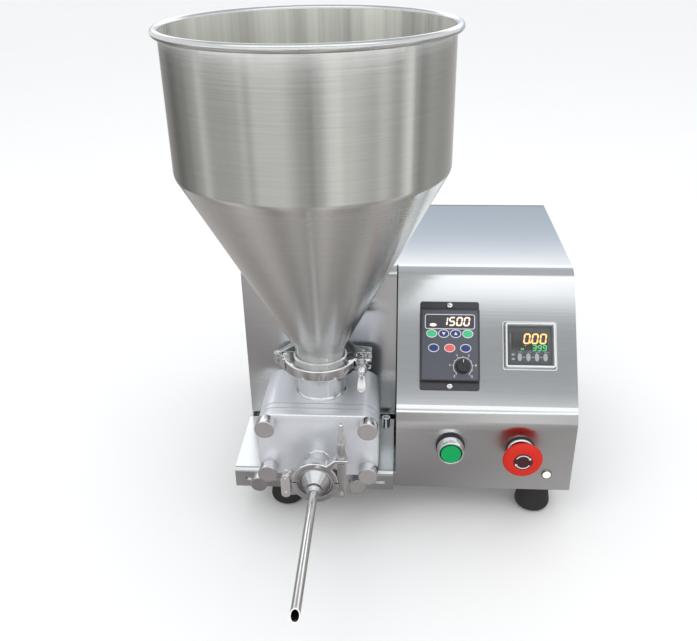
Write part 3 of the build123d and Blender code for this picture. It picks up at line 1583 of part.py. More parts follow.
with BuildPart() as speed_controller:
    with BuildSketch(panel):
        with Locations((controller_x, controller_s)):
            Rectangle(controller_width, controller_height)
            with Locations((0, controller_screw_s), (0, -controller_screw_s)):
                Circle(screw_r + push_fit, mode=Mode.SUBTRACT)
    extrude(amount=controller_base_t)
    face_height = controller_height - 2 * controller_ear
    with BuildSketch(panel.offset(controller_base_t)):
        with Locations((controller_x, controller_s)):
            Rectangle(controller_width, face_height)
    extrude(amount=controller_face_t)
    with BuildSketch(panel.offset(controller_base_t + controller_face_t)):
        with Locations((controller_x, controller_s + window_rise)):
            RectangleRounded(window_width, window_height, window_height / 6)
    extrude(amount=-window_depth, mode=Mode.SUBTRACT)
    with BuildSketch(panel.offset(controller_base_t + controller_face_t)):
        with Locations((knob_x, knob_s)):
            Circle(knob_post_r)
    extrude(amount=knob_post)
    with BuildSketch(panel):
        with Locations((controller_x, controller_s)):
            Rectangle(controller_case_width, controller_case_height)
    extrude(amount=-controller_case_depth)
speed_controller.part.label = "speed_controller"
export_step(speed_controller.part, "parts/speed_controller.step")

knob_z = controller_base_t + controller_face_t + eye_gap
with BuildPart() as speed_knob:
    with BuildSketch(panel.offset(knob_z)):
        with Locations((knob_x, knob_s)):
            Circle(knob_r)
            with PolarLocations(knob_r + knob_flute_r / 3, knob_flutes):
                Circle(knob_flute_r, mode=Mode.SUBTRACT)
    extrude(amount=knob_height)
    with BuildSketch(panel.offset(knob_z)):
        with Locations((knob_x, knob_s)):
            Circle(knob_post_r + running)
    extrude(amount=knob_post, mode=Mode.SUBTRACT)
speed_knob.part.label = "speed_knob"
export_step(speed_knob.part, "parts/speed_knob.step")

with BuildPart() as timer:
    with BuildSketch(panel):
        with Locations((timer_x, timer_s)):
            Rectangle(timer_width, timer_height)
    extrude(amount=timer_bezel_t)
    with BuildSketch(panel):
        with Locations((timer_x, timer_s)):
            Rectangle(timer_case_width, timer_case_height)
    extrude(amount=-timer_case_depth)
timer.part.label = "timer"
export_step(timer.part, "parts/timer.step")

cover_in_width = timer_width + 2 * timer_cover_room
cover_in_height = timer_height + 2 * timer_cover_room
with BuildPart() as timer_cover:
    with BuildSketch(panel):
        with Locations((timer_x, timer_s)):
            RectangleRounded(
                cover_in_width + 2 * (timer_cover_wall + timer_flange),
                cover_in_height + 2 * (timer_cover_wall + timer_flange),
                timer_flange,
            )
    extrude(amount=timer_flange_t)
    with BuildSketch(panel):
        with Locations((timer_x, timer_s)):
            RectangleRounded(
                cover_in_width + 2 * timer_cover_wall,
                cover_in_height + 2 * timer_cover_wall,
                timer_cover_wall,
            )
    extrude(amount=timer_cover_height)
    with BuildSketch(panel):
        with Locations((timer_x, timer_s)):
            Rectangle(cover_in_width, cover_in_height)
    extrude(amount=timer_cover_height - timer_cover_wall, mode=Mode.SUBTRACT)
timer_cover.part.label = "timer_cover"
export_step(timer_cover.part, "parts/timer_cover.step")

barrel_end = -sheet - barrel_length
with BuildPart() as start_bezel_ring:
    with BuildSketch(face):
        with Locations((start_x, start_z)):
            Circle(start_bezel_r)
    extrude(amount=start_bezel)
    chamfer(start_bezel_ring.faces().sort_by(Axis.Y)[0].edges(), edge_chamfer)
    with BuildSketch(face.offset(start_bezel)):
        with Locations((start_x, start_z)):
            Circle(start_cap_r + running)
    extrude(amount=-(start_cap - start_proud + start_travel + eye_gap), mode=Mode.SUBTRACT)
    with BuildSketch(face):
        with Locations((start_x, start_z)):
            Circle(barrel_r)
    extrude(amount=barrel_end)
    with BuildSketch(face.offset(start_bezel)):
        with Locations((start_x, start_z)):
            Circle(stem_r + running)
    extrude(amount=barrel_end - start_bezel, mode=Mode.SUBTRACT)
start_bezel_ring.part.label = "start_bezel"
export_step(start_bezel_ring.part, "parts/start_bezel.step")

with BuildPart() as start_button_cap:
    with BuildSketch(face.offset(start_bezel + start_proud)):
        with Locations((start_x, start_z)):
            Circle(start_cap_r)
    extrude(amount=-start_cap)
    fillet(start_button_cap.faces().sort_by(Axis.Y)[0].edges(), edge_chamfer / 2)
    with BuildSketch(face.offset(start_bezel + start_proud - start_cap)):
        with Locations((start_x, start_z)):
            Circle(stem_r)
    extrude(amount=barrel_end - start_bezel - start_proud + start_cap - eye_gap)
start_button_cap.part.label = "start_cap"
export_step(start_button_cap.part, "parts/start_cap.step")

with BuildPart() as estop_base:
    with BuildSketch(face):
        with Locations((estop_x, estop_z)):
            Circle(estop_collar_r)
    extrude(amount=estop_collar)
    chamfer(estop_base.faces().sort_by(Axis.Y)[0].edges(), edge_chamfer)
    with BuildSketch(face):
        with Locations((estop_x, estop_z)):
            Circle(barrel_r)
    extrude(amount=barrel_end)
    with BuildSketch(face.offset(estop_collar)):
        with Locations((estop_x, estop_z)):
            Circle(estop_stem_r + running)
    extrude(amount=barrel_end - estop_collar, mode=Mode.SUBTRACT)
estop_base.part.label = "estop_base"
export_step(estop_base.part, "parts/estop_base.step")

estop_back = estop_collar + estop_travel + estop_gap
with BuildPart() as estop_stem:
    with BuildSketch(face.offset(estop_back + estop_grip - end_clearance)):
        with Locations((estop_x, estop_z)):
            Circle(estop_stem_r)
    extrude(amount=barrel_end - estop_back - estop_grip + end_clearance - eye_gap)
estop_stem.part.label = "estop_stem"
export_step(estop_stem.part, "parts/estop_stem.step")

with BuildPart() as estop_button:
    with BuildSketch(face.offset(estop_back)):
        with Locations((estop_x, estop_z)):
            Circle(estop_head_r)
    extrude(amount=estop_head)
    fillet(estop_button.faces().sort_by(Axis.Y)[0].edges(), estop_front_r)
    fillet(estop_button.faces().sort_by(Axis.Y)[-1].edges(), estop_back_r)
    with BuildSketch(face.offset(estop_back)):
        with Locations((estop_x, estop_z)):
            Circle(estop_stem_r + running)
    extrude(amount=estop_grip, mode=Mode.SUBTRACT)
estop_button.part.label = "estop_head"
export_step(estop_button.part, "parts/estop_head.step")

with BuildPart() as contact_blocks:
    for block_x, block_z, pocket_r in ((start_x, start_z, stem_r), (estop_x, estop_z, estop_stem_r)):
        with BuildSketch(face.offset(barrel_end)):
            with Locations((block_x, block_z)):
                Rectangle(block_width, block_width)
        extrude(amount=-block_depth)
        with BuildSketch(face.offset(barrel_end)):
            with Locations((block_x, block_z)):
                Circle(pocket_r + loose)
        extrude(amount=-block_pocket, mode=Mode.SUBTRACT)
contact_blocks.part.label = "contact_blocks"
export_step(contact_blocks.part, "parts/contact_blocks.step")

with BuildPart() as power_lamp:
    with BuildSketch(face):
        with Locations((lamp_x, lamp_z)):
            Circle(lamp_r)
    extrude(amount=lamp_bezel)
    fillet(power_lamp.faces().sort_by(Axis.Y)[0].edges(), lamp_bezel / 3)
    with BuildSketch(face):
        with Locations((lamp_x, lamp_z)):
            Circle(lamp_barrel_r)
    extrude(amount=-lamp_barrel)
power_lamp.part.label = "power_lamp"
export_step(power_lamp.part, "parts/power_lamp.step")

inlet_pins = [
    (0, inlet_pin_rise),
    (-inlet_pin_pitch, -inlet_pin_rise),
    (inlet_pin_pitch, -inlet_pin_rise),
]
with BuildPart() as power_inlet:
    with BuildSketch(rear):
        with Locations((inlet_x, inlet_z)):
            RectangleRounded(inlet_width, inlet_height, inlet_height / 8)
    extrude(amount=inlet_flange_t)
    with BuildSketch(rear):
        with Locations((inlet_x, inlet_z)):
            Rectangle(inlet_case_width, inlet_case_height)
    extrude(amount=-inlet_case_depth)
    with BuildSketch(rear.offset(inlet_flange_t)):
        with Locations((inlet_x, inlet_z)):
            RectangleRounded(
                inlet_case_width - 2 * inlet_wall, inlet_case_height - 2 * inlet_wall, inlet_wall
            )
            with Locations(*inlet_pins):
                Circle(inlet_pin_r, mode=Mode.SUBTRACT)
    extrude(amount=-inlet_well, mode=Mode.SUBTRACT)
power_inlet.part.label = "power_inlet"
export_step(power_inlet.part, "parts/power_inlet.step")
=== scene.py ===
import math

import bmesh
import bpy
from mathutils import Matrix, Vector


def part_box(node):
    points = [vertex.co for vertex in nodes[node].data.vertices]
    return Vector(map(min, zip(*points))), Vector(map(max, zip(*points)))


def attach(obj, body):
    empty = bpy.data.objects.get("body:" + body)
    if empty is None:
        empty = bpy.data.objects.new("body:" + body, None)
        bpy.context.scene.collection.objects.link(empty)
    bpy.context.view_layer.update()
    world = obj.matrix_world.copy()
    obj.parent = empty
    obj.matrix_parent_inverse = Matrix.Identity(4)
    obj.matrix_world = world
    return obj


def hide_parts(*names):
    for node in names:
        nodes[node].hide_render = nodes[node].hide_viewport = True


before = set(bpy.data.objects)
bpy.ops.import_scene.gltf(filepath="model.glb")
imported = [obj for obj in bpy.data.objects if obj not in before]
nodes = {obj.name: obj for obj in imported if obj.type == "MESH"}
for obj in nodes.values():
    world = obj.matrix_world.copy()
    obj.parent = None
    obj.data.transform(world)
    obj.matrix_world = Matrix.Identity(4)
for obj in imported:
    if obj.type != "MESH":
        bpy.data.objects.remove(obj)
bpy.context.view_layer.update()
scene = bpy.context.scene
scene.view_settings.view_transform = "Standard"

MM = 0.001
RIGHT = (1, 0, 0)
FRONT = (0, -1, 0)
UP = (0, 0, 1)

# Places in the row frame, in millimetres
AXIS_X = -66.15
HOPPER_Y = -8
CONSOLE_X = 13.55
FRONT_Y = -39.4
FLOOR_Z = 40
BEND_Z = 129
COVER_Y = -62.2
TRAY_SEAT_Y = -46.5
CLAMP_Z = 180
OUTLET_Y = -91.9
OUTLET_Z = 87.6
PUMP_Z = 107.5


# Frames and meshes

def frame_at(origin, x_dir, normal):
    """Matrix from a local frame, x along the surface and z out of it, to the row frame, in millimetres."""
    z = Vector(normal).normalized()
    x = Vector(x_dir).normalized()
    place = Matrix((x, z.cross(x), z)).transposed().to_4x4()
    place.translation = Vector(origin)
    return place


def moved(place, x=0, y=0, z=0, turn=0):
    return place @ Matrix.Translation((x, y, z)) @ Matrix.Rotation(math.radians(turn), 4, "Z")


ROW = Matrix.Identity(4)
PANEL = frame_at((CONSOLE_X, FRONT_Y, BEND_Z), RIGHT, (0, -123.5, 99))
FACE = frame_at((CONSOLE_X, FRONT_Y, FLOOR_Z), RIGHT, FRONT)
REAR = frame_at((198.55, 265.1, FLOOR_Z), (-1, 0, 0), (0, 1, 0))
HOPPER = frame_at((AXIS_X, HOPPER_Y, 0), RIGHT, UP)
CLAMP = frame_at((AXIS_X, HOPPER_Y, CLAMP_Z), RIGHT, (0, 0, -1))


def outward(name, verts, faces):
    """A mesh whose faces all look outwards."""
    mesh = bpy.data.meshes.new(name)
    mesh.from_pydata(verts, [], faces)
    bm = bmesh.new()
    bm.from_mesh(mesh)
    bmesh.ops.recalc_face_normals(bm, faces=bm.faces)
    bm.to_mesh(mesh)
    bm.free()
    return mesh


def added(name, data):
    """A new object in the scene."""
    obj = bpy.data.objects.new(name, data)
    scene.collection.objects.link(obj)
    return obj


def dress(obj, body, materials, replaces, sharp):
    """Paint and shade a piece and hang it on its body."""
    mesh = obj.data
    for item in materials if isinstance(materials, list) else [materials]:
        mesh.materials.append(item)
    mesh.shade_smooth()
    mesh.set_sharp_from_angle(angle=math.radians(sharp))
    bpy.context.view_layer.update()
    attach(obj, body)
    if replaces:
        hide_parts(replaces)


def piece(name, shape, place, materials, replaces=None, body="machine", sharp=38, index=None):
    """A new piece from (vertices, faces) in millimetres, kept in its own local frame."""
    verts, faces = shape
    obj = added(name, outward(name, [Vector(v) * MM for v in verts], faces))
    world = place.copy()
    world.translation = place.translation * MM
    obj.matrix_world = world
    dress(obj, body, materials, replaces, sharp)
    if index is not None:
        for poly in obj.data.polygons:
            poly.material_index = index(poly)


def join(*shapes):
    verts, faces = [], []
    for part_verts, part_faces in shapes:
        start = len(verts)
        verts += part_verts
        faces += [[i + start for i in face] for face in part_faces]
    return verts, faces


def placed(shape, place):
    """A shape carried from its own frame into another."""
    return [tuple(place @ Vector(v)) for v in shape[0]], shape[1]


def shifted(shape, x=0, y=0, z=0, turn=0):
    return placed(shape, moved(ROW, x, y, z, turn))


def carved(shape, *cutters):
    """A shape with others cut out of it."""
    solid, tool = [added("carving", outward("carving", *part)) for part in (shape, join(*cutters))]
    cut = solid.modifiers.new("cut", "BOOLEAN")
    cut.object = tool
    cut.operation = "DIFFERENCE"
    cut.solver = "EXACT"
    cut.use_self = True
    result = bpy.data.meshes.new_from_object(solid.evaluated_get(bpy.context.evaluated_depsgraph_get()))
    verts = [tuple(v.co) for v in result.vertices]
    faces = [list(poly.vertices) for poly in result.polygons]
    for obj in (solid, tool):
        mesh = obj.data
        bpy.data.objects.remove(obj)
        bpy.data.meshes.remove(mesh)
    bpy.data.meshes.remove(result)
    return verts, faces


def spot(radius, angle):
    """A point on a circle."""
    return radius * math.cos(angle), radius * math.sin(angle)


def around(steps):
    """Angles all the way round, evenly spaced."""
    return [2 * math.pi * k / steps for k in range(steps)]


def rounded_path(points, steps=4, closed=False):
    """Points (a, b, radius), or (a, b) where it is sharp, as a polyline rounded by quadratic curves."""
    path = []
    count = len(points)
    for i, (a, b, *size) in enumerate(points):
        here = Vector((a, b))
        if not size or (not closed and i in (0, count - 1)):
            path.append(here)
            continue
        before = Vector(points[i - 1][:2])
        after = Vector(points[(i + 1) % count][:2])
        reach = min(*size, (before - here).length * 0.49, (after - here).length * 0.49)
        start = here + (before - here).normalized() * reach
        end = here + (after - here).normalized() * reach
        for k in range(steps + 1):
            t = k / steps
            path.append(start * (1 - t) ** 2 + here * 2 * t * (1 - t) + end * t * t)
    return [(p.x, p.y) for p in path]


def revolve(profile, steps=72, closed=False, wave=None):
    """A profile of (radius, height) turned about the local z axis."""
    verts, rings, faces = [], [], []
    for radius, height in profile:
        first = len(verts)
        if radius < 1e-6:
            verts.append((0, 0, height))
        else:
            for angle in around(steps):
                verts.append((*spot(wave(radius, height, angle) if wave else radius, angle), height))
        rings.append(range(first, len(verts)))
    for low, high in zip(rings, rings[1:] + rings[:1] if closed else rings[1:]):
        for k in range(steps):
            n = (k + 1) % steps
            if len(low) == 1:
                faces.append([low[0], high[n], high[k]])
            elif len(high) == 1:
                faces.append([low[k], low[n], high[0]])
            else:
                faces.append([low[k], low[n], high[n], high[k]])
    return verts, faces


def lathe(points, steps=72, closed=False, wave=None):
    return revolve(rounded_path(points, closed=closed), steps, closed, wave)


def hoop(points, steps=72):
    """A closed section turned about the local z axis."""
    return lathe(points, steps, closed=True)


def loft(rings, closed=False):
    """A skin over rings of points; its ends are capped, or joined to each other if closed."""
    count = len(rings[0])
    verts = [point for ring in rings for point in ring]
    faces = []
    for j in range(len(rings) if closed else len(rings) - 1):
        low = j * count
        high = (j + 1) % len(rings) * count
        for k in range(count):
            n = (k + 1) % count
            faces.append([low + k, low + n, high + n, high + k])
    if not closed:
        faces.append(list(range(count))[::-1])
        faces.append(list(range(len(verts) - count, len(verts))))
    return verts, faces


def plate(outline, levels, closed=False):
    """A body through outline(inset) at each (inset, height)."""
    return loft([[(x, y, height) for x, y in outline(inset)] for inset, height in levels], closed)


def slab(outline, low, high):
    return plate(outline, ((0, low), (0, high)))


def band(outline, width, low, high):
    """A flat ring that follows an outline, width wide."""
    return plate(outline, ((0, low), (0, high), (width, high), (width, low)), closed=True)


def rounded_rect(width, height, radius, steps=5):
    def outline(inset):
        w = width / 2 - inset
        h = height / 2 - inset
        r = max(radius - inset, 0.05)
        points = []
        for right, up, start in ((1, 1, 0), (-1, 1, 90), (-1, -1, 180), (1, -1, 270)):
            for k in range(steps + 1):
                x, y = spot(r, math.radians(start + 90 * k / steps))
                points.append((right * (w - r) + x, up * (h - r) + y))
        return points
    return outline


def oval(width, height, steps=28):
    def outline(inset):
        circle = [spot(1, angle) for angle in around(steps)]
        return [((width / 2 - inset) * c, (height / 2 - inset) * s) for c, s in circle]
    return outline


def polygon(points):
    centre = sum((Vector(p) for p in points), Vector((0, 0))) / len(points)

    def outline(inset):
        shape = []
        for p in points:
            away = Vector(p) - centre
            keep = max(away.length - inset, 0.01) / max(away.length, 1e-6)
            shape.append(tuple(centre + away * keep))
        return shape
    return outline


def bar(x0, y0, x1, y1, width, low, high):
    """A straight flat stroke from one point to another."""
    side = Vector((y0 - y1, x1 - x0)).normalized() * width / 2
    points = [(x0 + side.x, y0 + side.y), (x0 - side.x, y0 - side.y),
              (x1 - side.x, y1 - side.y), (x1 + side.x, y1 + side.y)]
    return slab(polygon(points), low, high)


def arc_stroke(radius, width, start, end, low, high, steps=24):
    """A flat stroke along part of a circle."""
    section = ((radius - width / 2, low), (radius + width / 2, low),
               (radius + width / 2, high), (radius - width / 2, high))
    angles = [math.radians(start + (end - start) * k / steps) for k in range(steps + 1)]
    return loft([[(*spot(r, angle), h) for r, h in section] for angle in angles])


SEGMENTS = {"0": "abcdef", "1": "bc", "2": "abged", "3": "abgcd", "4": "fgbc", "5": "afgcd",
            "6": "afgedc", "8": "abcdefg", "9": "abcdfg"}
SEGMENT_TIP = 0.8


def digits(text, left, bottom, width, height, pitch, low, high, lean, stroke):
    """Seven-segment figures, each width wide and pitch apart, leaning to the right."""
    slope = math.tan(math.radians(lean))
    line = stroke * height
    half = line / 2
    middle = height / 2
    ends = {"a": (half, height, width - half, height), "g": (half, middle, width - half, middle),
            "d": (half, 0, width - half, 0), "f": (0, middle + half, 0, height - half),
            "b": (width, middle + half, width, height - half), "e": (0, half, 0, middle - half),
            "c": (width, half, width, middle - half)}
    shapes = []
    x = left
    for sign in text:
        if sign == ".":
            dot = x - pitch + width + 0.25 * line
            shapes.append(bar(dot, bottom + half, dot + line, bottom + half, line, low, high))
            continue
        for key in SEGMENTS[sign]:
            x0, y0, x1, y1 = ends[key]
            a = Vector((x + x0 + slope * y0, bottom + y0))
            b = Vector((x + x1 + slope * y1, bottom + y1))
            along = (b - a).normalized() * half
            side = Vector((-along.y, along.x))
            tip = along * SEGMENT_TIP
            outline = polygon([a - tip, a + side, b + side, b + tip, b - side, a - side])
            shapes.append(slab(outline, low, high))
        x += pitch
    return join(*shapes)


THREAD_ROWS = 6
THREAD_TIP = 1.2
THREAD_TAPER = 0.9


def thread(radius, depth, pitch, start, end, steps=20):
    """A threaded rod along the local z axis with a pointed end."""
    rows = int((end - start) / pitch * THREAD_ROWS)
    rings = []
    for j in range(rows + 1):
        height = start + (end - start) * j / rows
        limit = radius - max(0, height - (end - THREAD_TIP)) * THREAD_TAPER
        ring = []
        for k, angle in enumerate(around(steps)):
            phase = (height / pitch - k / steps) % 1
            r = min(radius - depth * (1 - abs(2 * phase - 1)), limit)
            ring.append((*spot(r, angle), height))
        rings.append(ring)
    return loft(rings)


SHARP_EDGE = math.radians(35)
RIM_SEGMENTS = 5


def softened(node, width, materials, segments, body="machine", rim=None, rim_width=0):
    """A copy of a node with rounded edges, more so on the rim; a second material is for those edges."""
    name = node + "_soft"
    mesh = nodes[node].data.copy()
    mesh.name = name
    mesh.materials.clear()
    edge_index = 1 if isinstance(materials, list) else 0
    bm = bmesh.new()
    bm.from_mesh(mesh)
    bmesh.ops.remove_doubles(bm, verts=bm.verts, dist=1e-6)
    bmesh.ops.dissolve_limit(bm, angle_limit=math.radians(0.4), verts=bm.verts, edges=bm.edges)

    def bevel(size, steps, keep):
        sharp = [e for e in bm.edges if len(e.link_faces) == 2 and e.calc_face_angle(0) > SHARP_EDGE]
        edges = [e for e in sharp if all(keep(v.co / MM) for v in e.verts)]
        bmesh.ops.bevel(bm, geom=edges, offset=size * MM, offset_type="OFFSET", segments=steps,
                        profile=0.5, affect="EDGES", clamp_overlap=True, material=edge_index)

    if rim:
        bevel(rim_width, RIM_SEGMENTS, rim)
    bevel(width, segments, lambda point: True)
    bm.to_mesh(mesh)
    bm.free()
    dress(added(name, mesh), body, materials, node, 32)


# Materials

def linear(rgb):
    """A screen colour as linear light."""
    shares = [c / 255 for c in rgb]
    return (*(c / 12.92 if c <= 0.04045 else ((c + 0.055) / 1.055) ** 2.4 for c in shares), 1)


def scaled(colour, k):
    return (*(min(1, c * k) for c in colour[:3]), 1)


class Net:
    """The nodes of a material or of the world, with short calls for what is used here."""

    def __init__(self, owner):
        owner.use_nodes = True
        self.owner = owner
        self.nodes = owner.node_tree.nodes
        self.links = owner.node_tree.links

    def feed(self, node, inputs):
        """Link sockets to a node's inputs, and set constants on the others."""
        for key, value in inputs.items():
            target = node.inputs[key.replace("_", " ") if isinstance(key, str) else key]
            if isinstance(value, bpy.types.NodeSocket):
                self.links.new(value, target)
            else:
                target.default_value = value

    def add(self, kind, *values, operation=None, **inputs):
        """A new node; its inputs are given in order or by name."""
        node = self.nodes.new("ShaderNode" + kind)
        if operation:
            node.operation = operation
        self.feed(node, {**dict(enumerate(values)), **inputs})
        return node

    def coords(self):
        node = self.nodes.get("Texture Coordinate") or self.add("TexCoord")
        return node.outputs["Object"]

    def split(self):
        """The object's coordinates, one by one."""
        return self.add("SeparateXYZ", self.coords()).outputs

    def total(self, a, b):
        return self.add("Math", a, b, operation="ADD").outputs[0]

    def ranged(self, value, low, high, start=0.25, end=0.75):
        return self.add("MapRange", value, start, end, low, high).outputs["Result"]

    def blend(self, factor, a, b, kind="MIX"):
        node = self.add("Mix")
        node.data_type = "RGBA"
        node.blend_type = kind
        self.feed(node, {0: factor, 6: a, 7: b})
        return node.outputs[2]

    def ramp(self, value, stops, kind="LINEAR"):
        """A colour by (position, colour) stops."""
        node = self.add("ValToRGB", value)
        ramp = node.color_ramp
        ramp.interpolation = kind
        ramp.elements.remove(ramp.elements[1])
        for i, (position, colour) in enumerate(stops):
            item = ramp.elements[0] if i == 0 else ramp.elements.new(position)
            item.position = position
            item.color = (*colour, 1)
        return node.outputs["Color"]

    def noise(self, scale, detail=3, rough=0.55, coords=None):
        """Noise with its own scale along each axis."""
        scale = scale if isinstance(scale, tuple) else (scale,) * 3
        place = self.add("Mapping", Vector=coords or self.coords(), Scale=scale).outputs["Vector"]
        return self.add("TexNoise", Vector=place, Scale=1, Detail=detail, Roughness=rough).outputs["Fac"]


class Paint(Net):
    """A material around one shader."""

    def __init__(self, name, **inputs):
        super().__init__(bpy.data.materials.new(name))
        self.shader = self.nodes["Principled BSDF"]
        self.feed(self.shader, inputs)

    def done(self, colour, rough, height, strength, distance, axis=None):
        """The material with its colour, roughness and bump, and a grain about an axis if one is given."""
        bump = self.add("Bump", Strength=strength, Distance=distance, Height=height)
        self.feed(self.shader, {"Base Color": colour, "Roughness": rough, "Normal": bump.outputs["Normal"]})
        if axis:
            grain = self.add("Tangent")
            grain.direction_type = "RADIAL"
            grain.axis = axis
            self.feed(self.shader, {"Tangent": grain.outputs["Tangent"]})
        return self.owner


def brushed(name, rgb, rough, grain, axis="Z", turn=0, anisotropy=0, bump=0.05, spread=0.06,
            tone=0.03, dull=None):
    """Steel with a fine grain and broad smears; dull is two heights and the roughness added below them."""
    tint = linear(rgb)
    paint = Paint(name, Metallic=1, Anisotropic=anisotropy, Anisotropic_Rotation=turn)
    fine = paint.noise(grain, 4, 0.7)
    broad = paint.noise(9)
    streaks = paint.ranged(fine, 0, 1, 0.3, 0.7)
    base = paint.blend(streaks, scaled(tint, 1 - tone), scaled(tint, 1 + tone))
    colour = paint.blend(paint.ranged(broad, 0, 0.2, 0.35, 0.75), base, scaled(tint, 0.9))
    surface = paint.total(paint.ranged(fine, -0.5 * spread, 0.5 * spread, 0.3, 0.7),
                          paint.ranged(broad, rough - spread, rough + spread))
    if dull:
        below, above, extra = dull
        surface = paint.total(surface, paint.ranged(paint.split()["Z"], extra, 0, below, above))
    return paint.done(colour, surface, fine, bump, 0.0004, axis)


def plain(name, rgb, rough, speck, depth, grain, vary, **inputs):
    """Moulded or coated surface with fine texture, faint blotches and scuffs."""
    tint = linear(rgb)
    paint = Paint(name, **inputs)
    fine = paint.noise(grain, 2)
    broad = paint.noise(35, 4)
    base = paint.blend(paint.ranged(fine, 0, 1), scaled(tint, 1 - vary), scaled(tint, 1 + vary))
    colour = paint.blend(paint.ranged(broad, 0, 0.4, 0.4, 0.8), base, scaled(tint, 1 + 1.5 * vary))
    return paint.done(colour, paint.ranged(broad, rough - speck, rough + speck), fine, depth, 0.0003)


def lit(name, rgb, light, strength):
    """A figure that shines by itself."""
    return plain(name, rgb, 0.4, 0.05, 0.02, 1500, 0.02, Emission_Color=light, Emission_Strength=strength)


STEEL = (205, 208, 210)
LONG_X = (7, 900, 900)
LONG_Y = (900, 7, 900)
COVER_STEEL = brushed("cover_steel", STEEL, 0.16, LONG_X, "X", 0.25, 0.75, 0.006, 0.025,
                      dull=(0.104, 0.122, 0.17))
PAN_STEEL = brushed("pan_steel", STEEL, 0.2, LONG_X, "X", 0.25, 0.4, 0.02, 0.04)
SIDE_STEEL = brushed("side_steel", STEEL, 0.2, LONG_Y, "Y", 0.25, 0.4, 0.02, 0.04)
HOPPER_STEEL = brushed("hopper_steel", (208, 210, 208), 0.12, (14, 14, 900), "Z", 0.25, 0.75,
                       0.02, 0.04, 0.045, (0.376, 0.388, 0.13))
RIM_STEEL = brushed("rim_steel", (206, 208, 208), 0.2, 300, bump=0.02, spread=0.04)
TUBE_STEEL = brushed("tube_steel", (212, 214, 215), 0.2, (12, 12, 1400), "Z", 0.25, 0.4, 0.04)
NEEDLE_STEEL = brushed("needle_steel", (226, 227, 227), 0.18, (1500, 10, 1500), "Y", 0, 0.5)
POLISHED = brushed("polished_steel", (232, 233, 234), 0.12, 420, bump=0.02, spread=0.04)
CLAMP_STEEL = brushed("clamp_steel", (196, 197, 199), 0.08, 420, bump=0.02, spread=0.03)
NUT_STEEL = brushed("nut_steel", (206, 207, 209), 0.26, 420, bump=0.03, spread=0.05)
CHROME = brushed("chrome", (232, 233, 235), 0.06, 300, bump=0.01, spread=0.03)
GROUND = brushed("ground_steel", (186, 188, 190), 0.24, (60, 1400, 60), "Y", 0, 0.3)
BLASTED = plain("blasted_aluminium", (225, 228, 234), 0.33, 0.05, 0.08, 2400, 0.04, Metallic=0.45)
# Brighter, fully metallic finish for the pump cover's rounded edges: a machined edge, with its lighter
# colour as painted highlight
EDGE_HIGHLIGHT = brushed("machined_edge", (238, 240, 243), 0.3, 300, bump=0.02, spread=0.05)
# Dark grey for the bands in the pump's joint lines: painted shade of the gaps between the plates
SEAM_SHADE = plain("gasket", (50, 51, 55), 0.5, 0.06, 0.06, 2000, 0.08)
BRONZE = plain("bronze", (176, 132, 82), 0.34, 0.08, 0.08, 1500, 0.1, Metallic=1)
RUBBER = plain("rubber", (34, 34, 36), 0.62, 0.12, 0.22, 1400, 0.2)
BLACK = plain("black_plastic", (33, 33, 36), 0.38, 0.08, 0.12, 1900, 0.15)
MOTOR = plain("motor_paint", (58, 62, 68), 0.42, 0.08, 0.2, 900, 0.1)
GREEN = plain("green_plastic", (10, 160, 90), 0.42, 0.06, 0.06, 1500, 0.06, Specular_IOR_Level=0.15)
RED = plain("red_plastic", (204, 38, 20), 0.45, 0.06, 0.08, 1500, 0.05, Specular_IOR_Level=0.2)
LAMP = plain("lamp_lens", (246, 247, 246), 0.3, 0.05, 0.05, 1500, 0.02,
             Emission_Color=(1, 1, 0.97, 1), Emission_Strength=0.55)
# Power lamp bezel: metal with an olive tint painted in as reflected colour
LAMP_RING = plain("lamp_ring", (150, 148, 128), 0.25, 0.06, 0.05, 1500, 0.05, Metallic=1)
CASE = plain("controller_case", (52, 53, 58), 0.44, 0.07, 0.16, 1700, 0.14)
FILM = plain("controller_film", (76, 80, 90), 0.4, 0.06, 0.06, 2600, 0.06)
WINDOW = plain("display_window", (66, 64, 72), 0.22, 0.05, 0.02, 2600, 0.06)
TIMER_CASE = plain("timer_case", (62, 66, 69), 0.42, 0.07, 0.16, 1700, 0.12)
# Near-white colour for the clear cover's rims and lip: painted highlight of the edges
CLEAR_EDGE_GLINT = plain("clear_edge", (244, 247, 247), 0.2, 0.05, 0.04, 1500, 0.02, Alpha=0.8)
TIMER_DISPLAY = plain("timer_display", (26, 23, 25), 0.25, 0.05, 0.03, 2000, 0.1)
INK = plain("white_ink", (226, 226, 236), 0.45, 0.06, 0.04, 2400, 0.03)
GREY_INK = plain("grey_ink", (168, 172, 178), 0.45, 0.06, 0.04, 2400, 0.04)
NAVY = plain("navy_key", (34, 52, 116), 0.38, 0.06, 0.06, 2200, 0.08)
KEY_GREEN = plain("green_key", (60, 196, 132), 0.38, 0.06, 0.06, 2200, 0.06)
KEY_RED = plain("red_key", (232, 92, 88), 0.38, 0.06, 0.06, 2200, 0.06)
LABEL = plain("stop_label", (66, 22, 24), 0.36, 0.06, 0.05, 1800, 0.1)
LIT_WARM = lit("lit_warm", (255, 226, 196), (1, 0.72, 0.52, 1), 0.9)
LIT_AMBER = lit("lit_amber", (255, 190, 110), (1, 0.52, 0.16, 1), 0.9)
LIT_GREEN = lit("lit_green", (60, 200, 120), (0.05, 0.6, 0.2, 1), 0.6)


def turned_steel():
    """Steel with the marks of the lathe about the local z axis."""
    paint = Paint("turned_steel", Metallic=1, Anisotropic=0.5)
    wave = paint.add("TexWave", Vector=paint.coords(), Scale=520, Distortion=0.4, Detail=2)
    wave.wave_type = "RINGS"
    wave.rings_direction = "Z"
    marks = wave.outputs["Fac"]
    colour = paint.blend(marks, linear((196, 197, 199)), linear((222, 223, 224)))
    return paint.done(colour, paint.ranged(paint.noise(120), 0.16, 0.26), marks, 0.1, 0.0002, "Z")


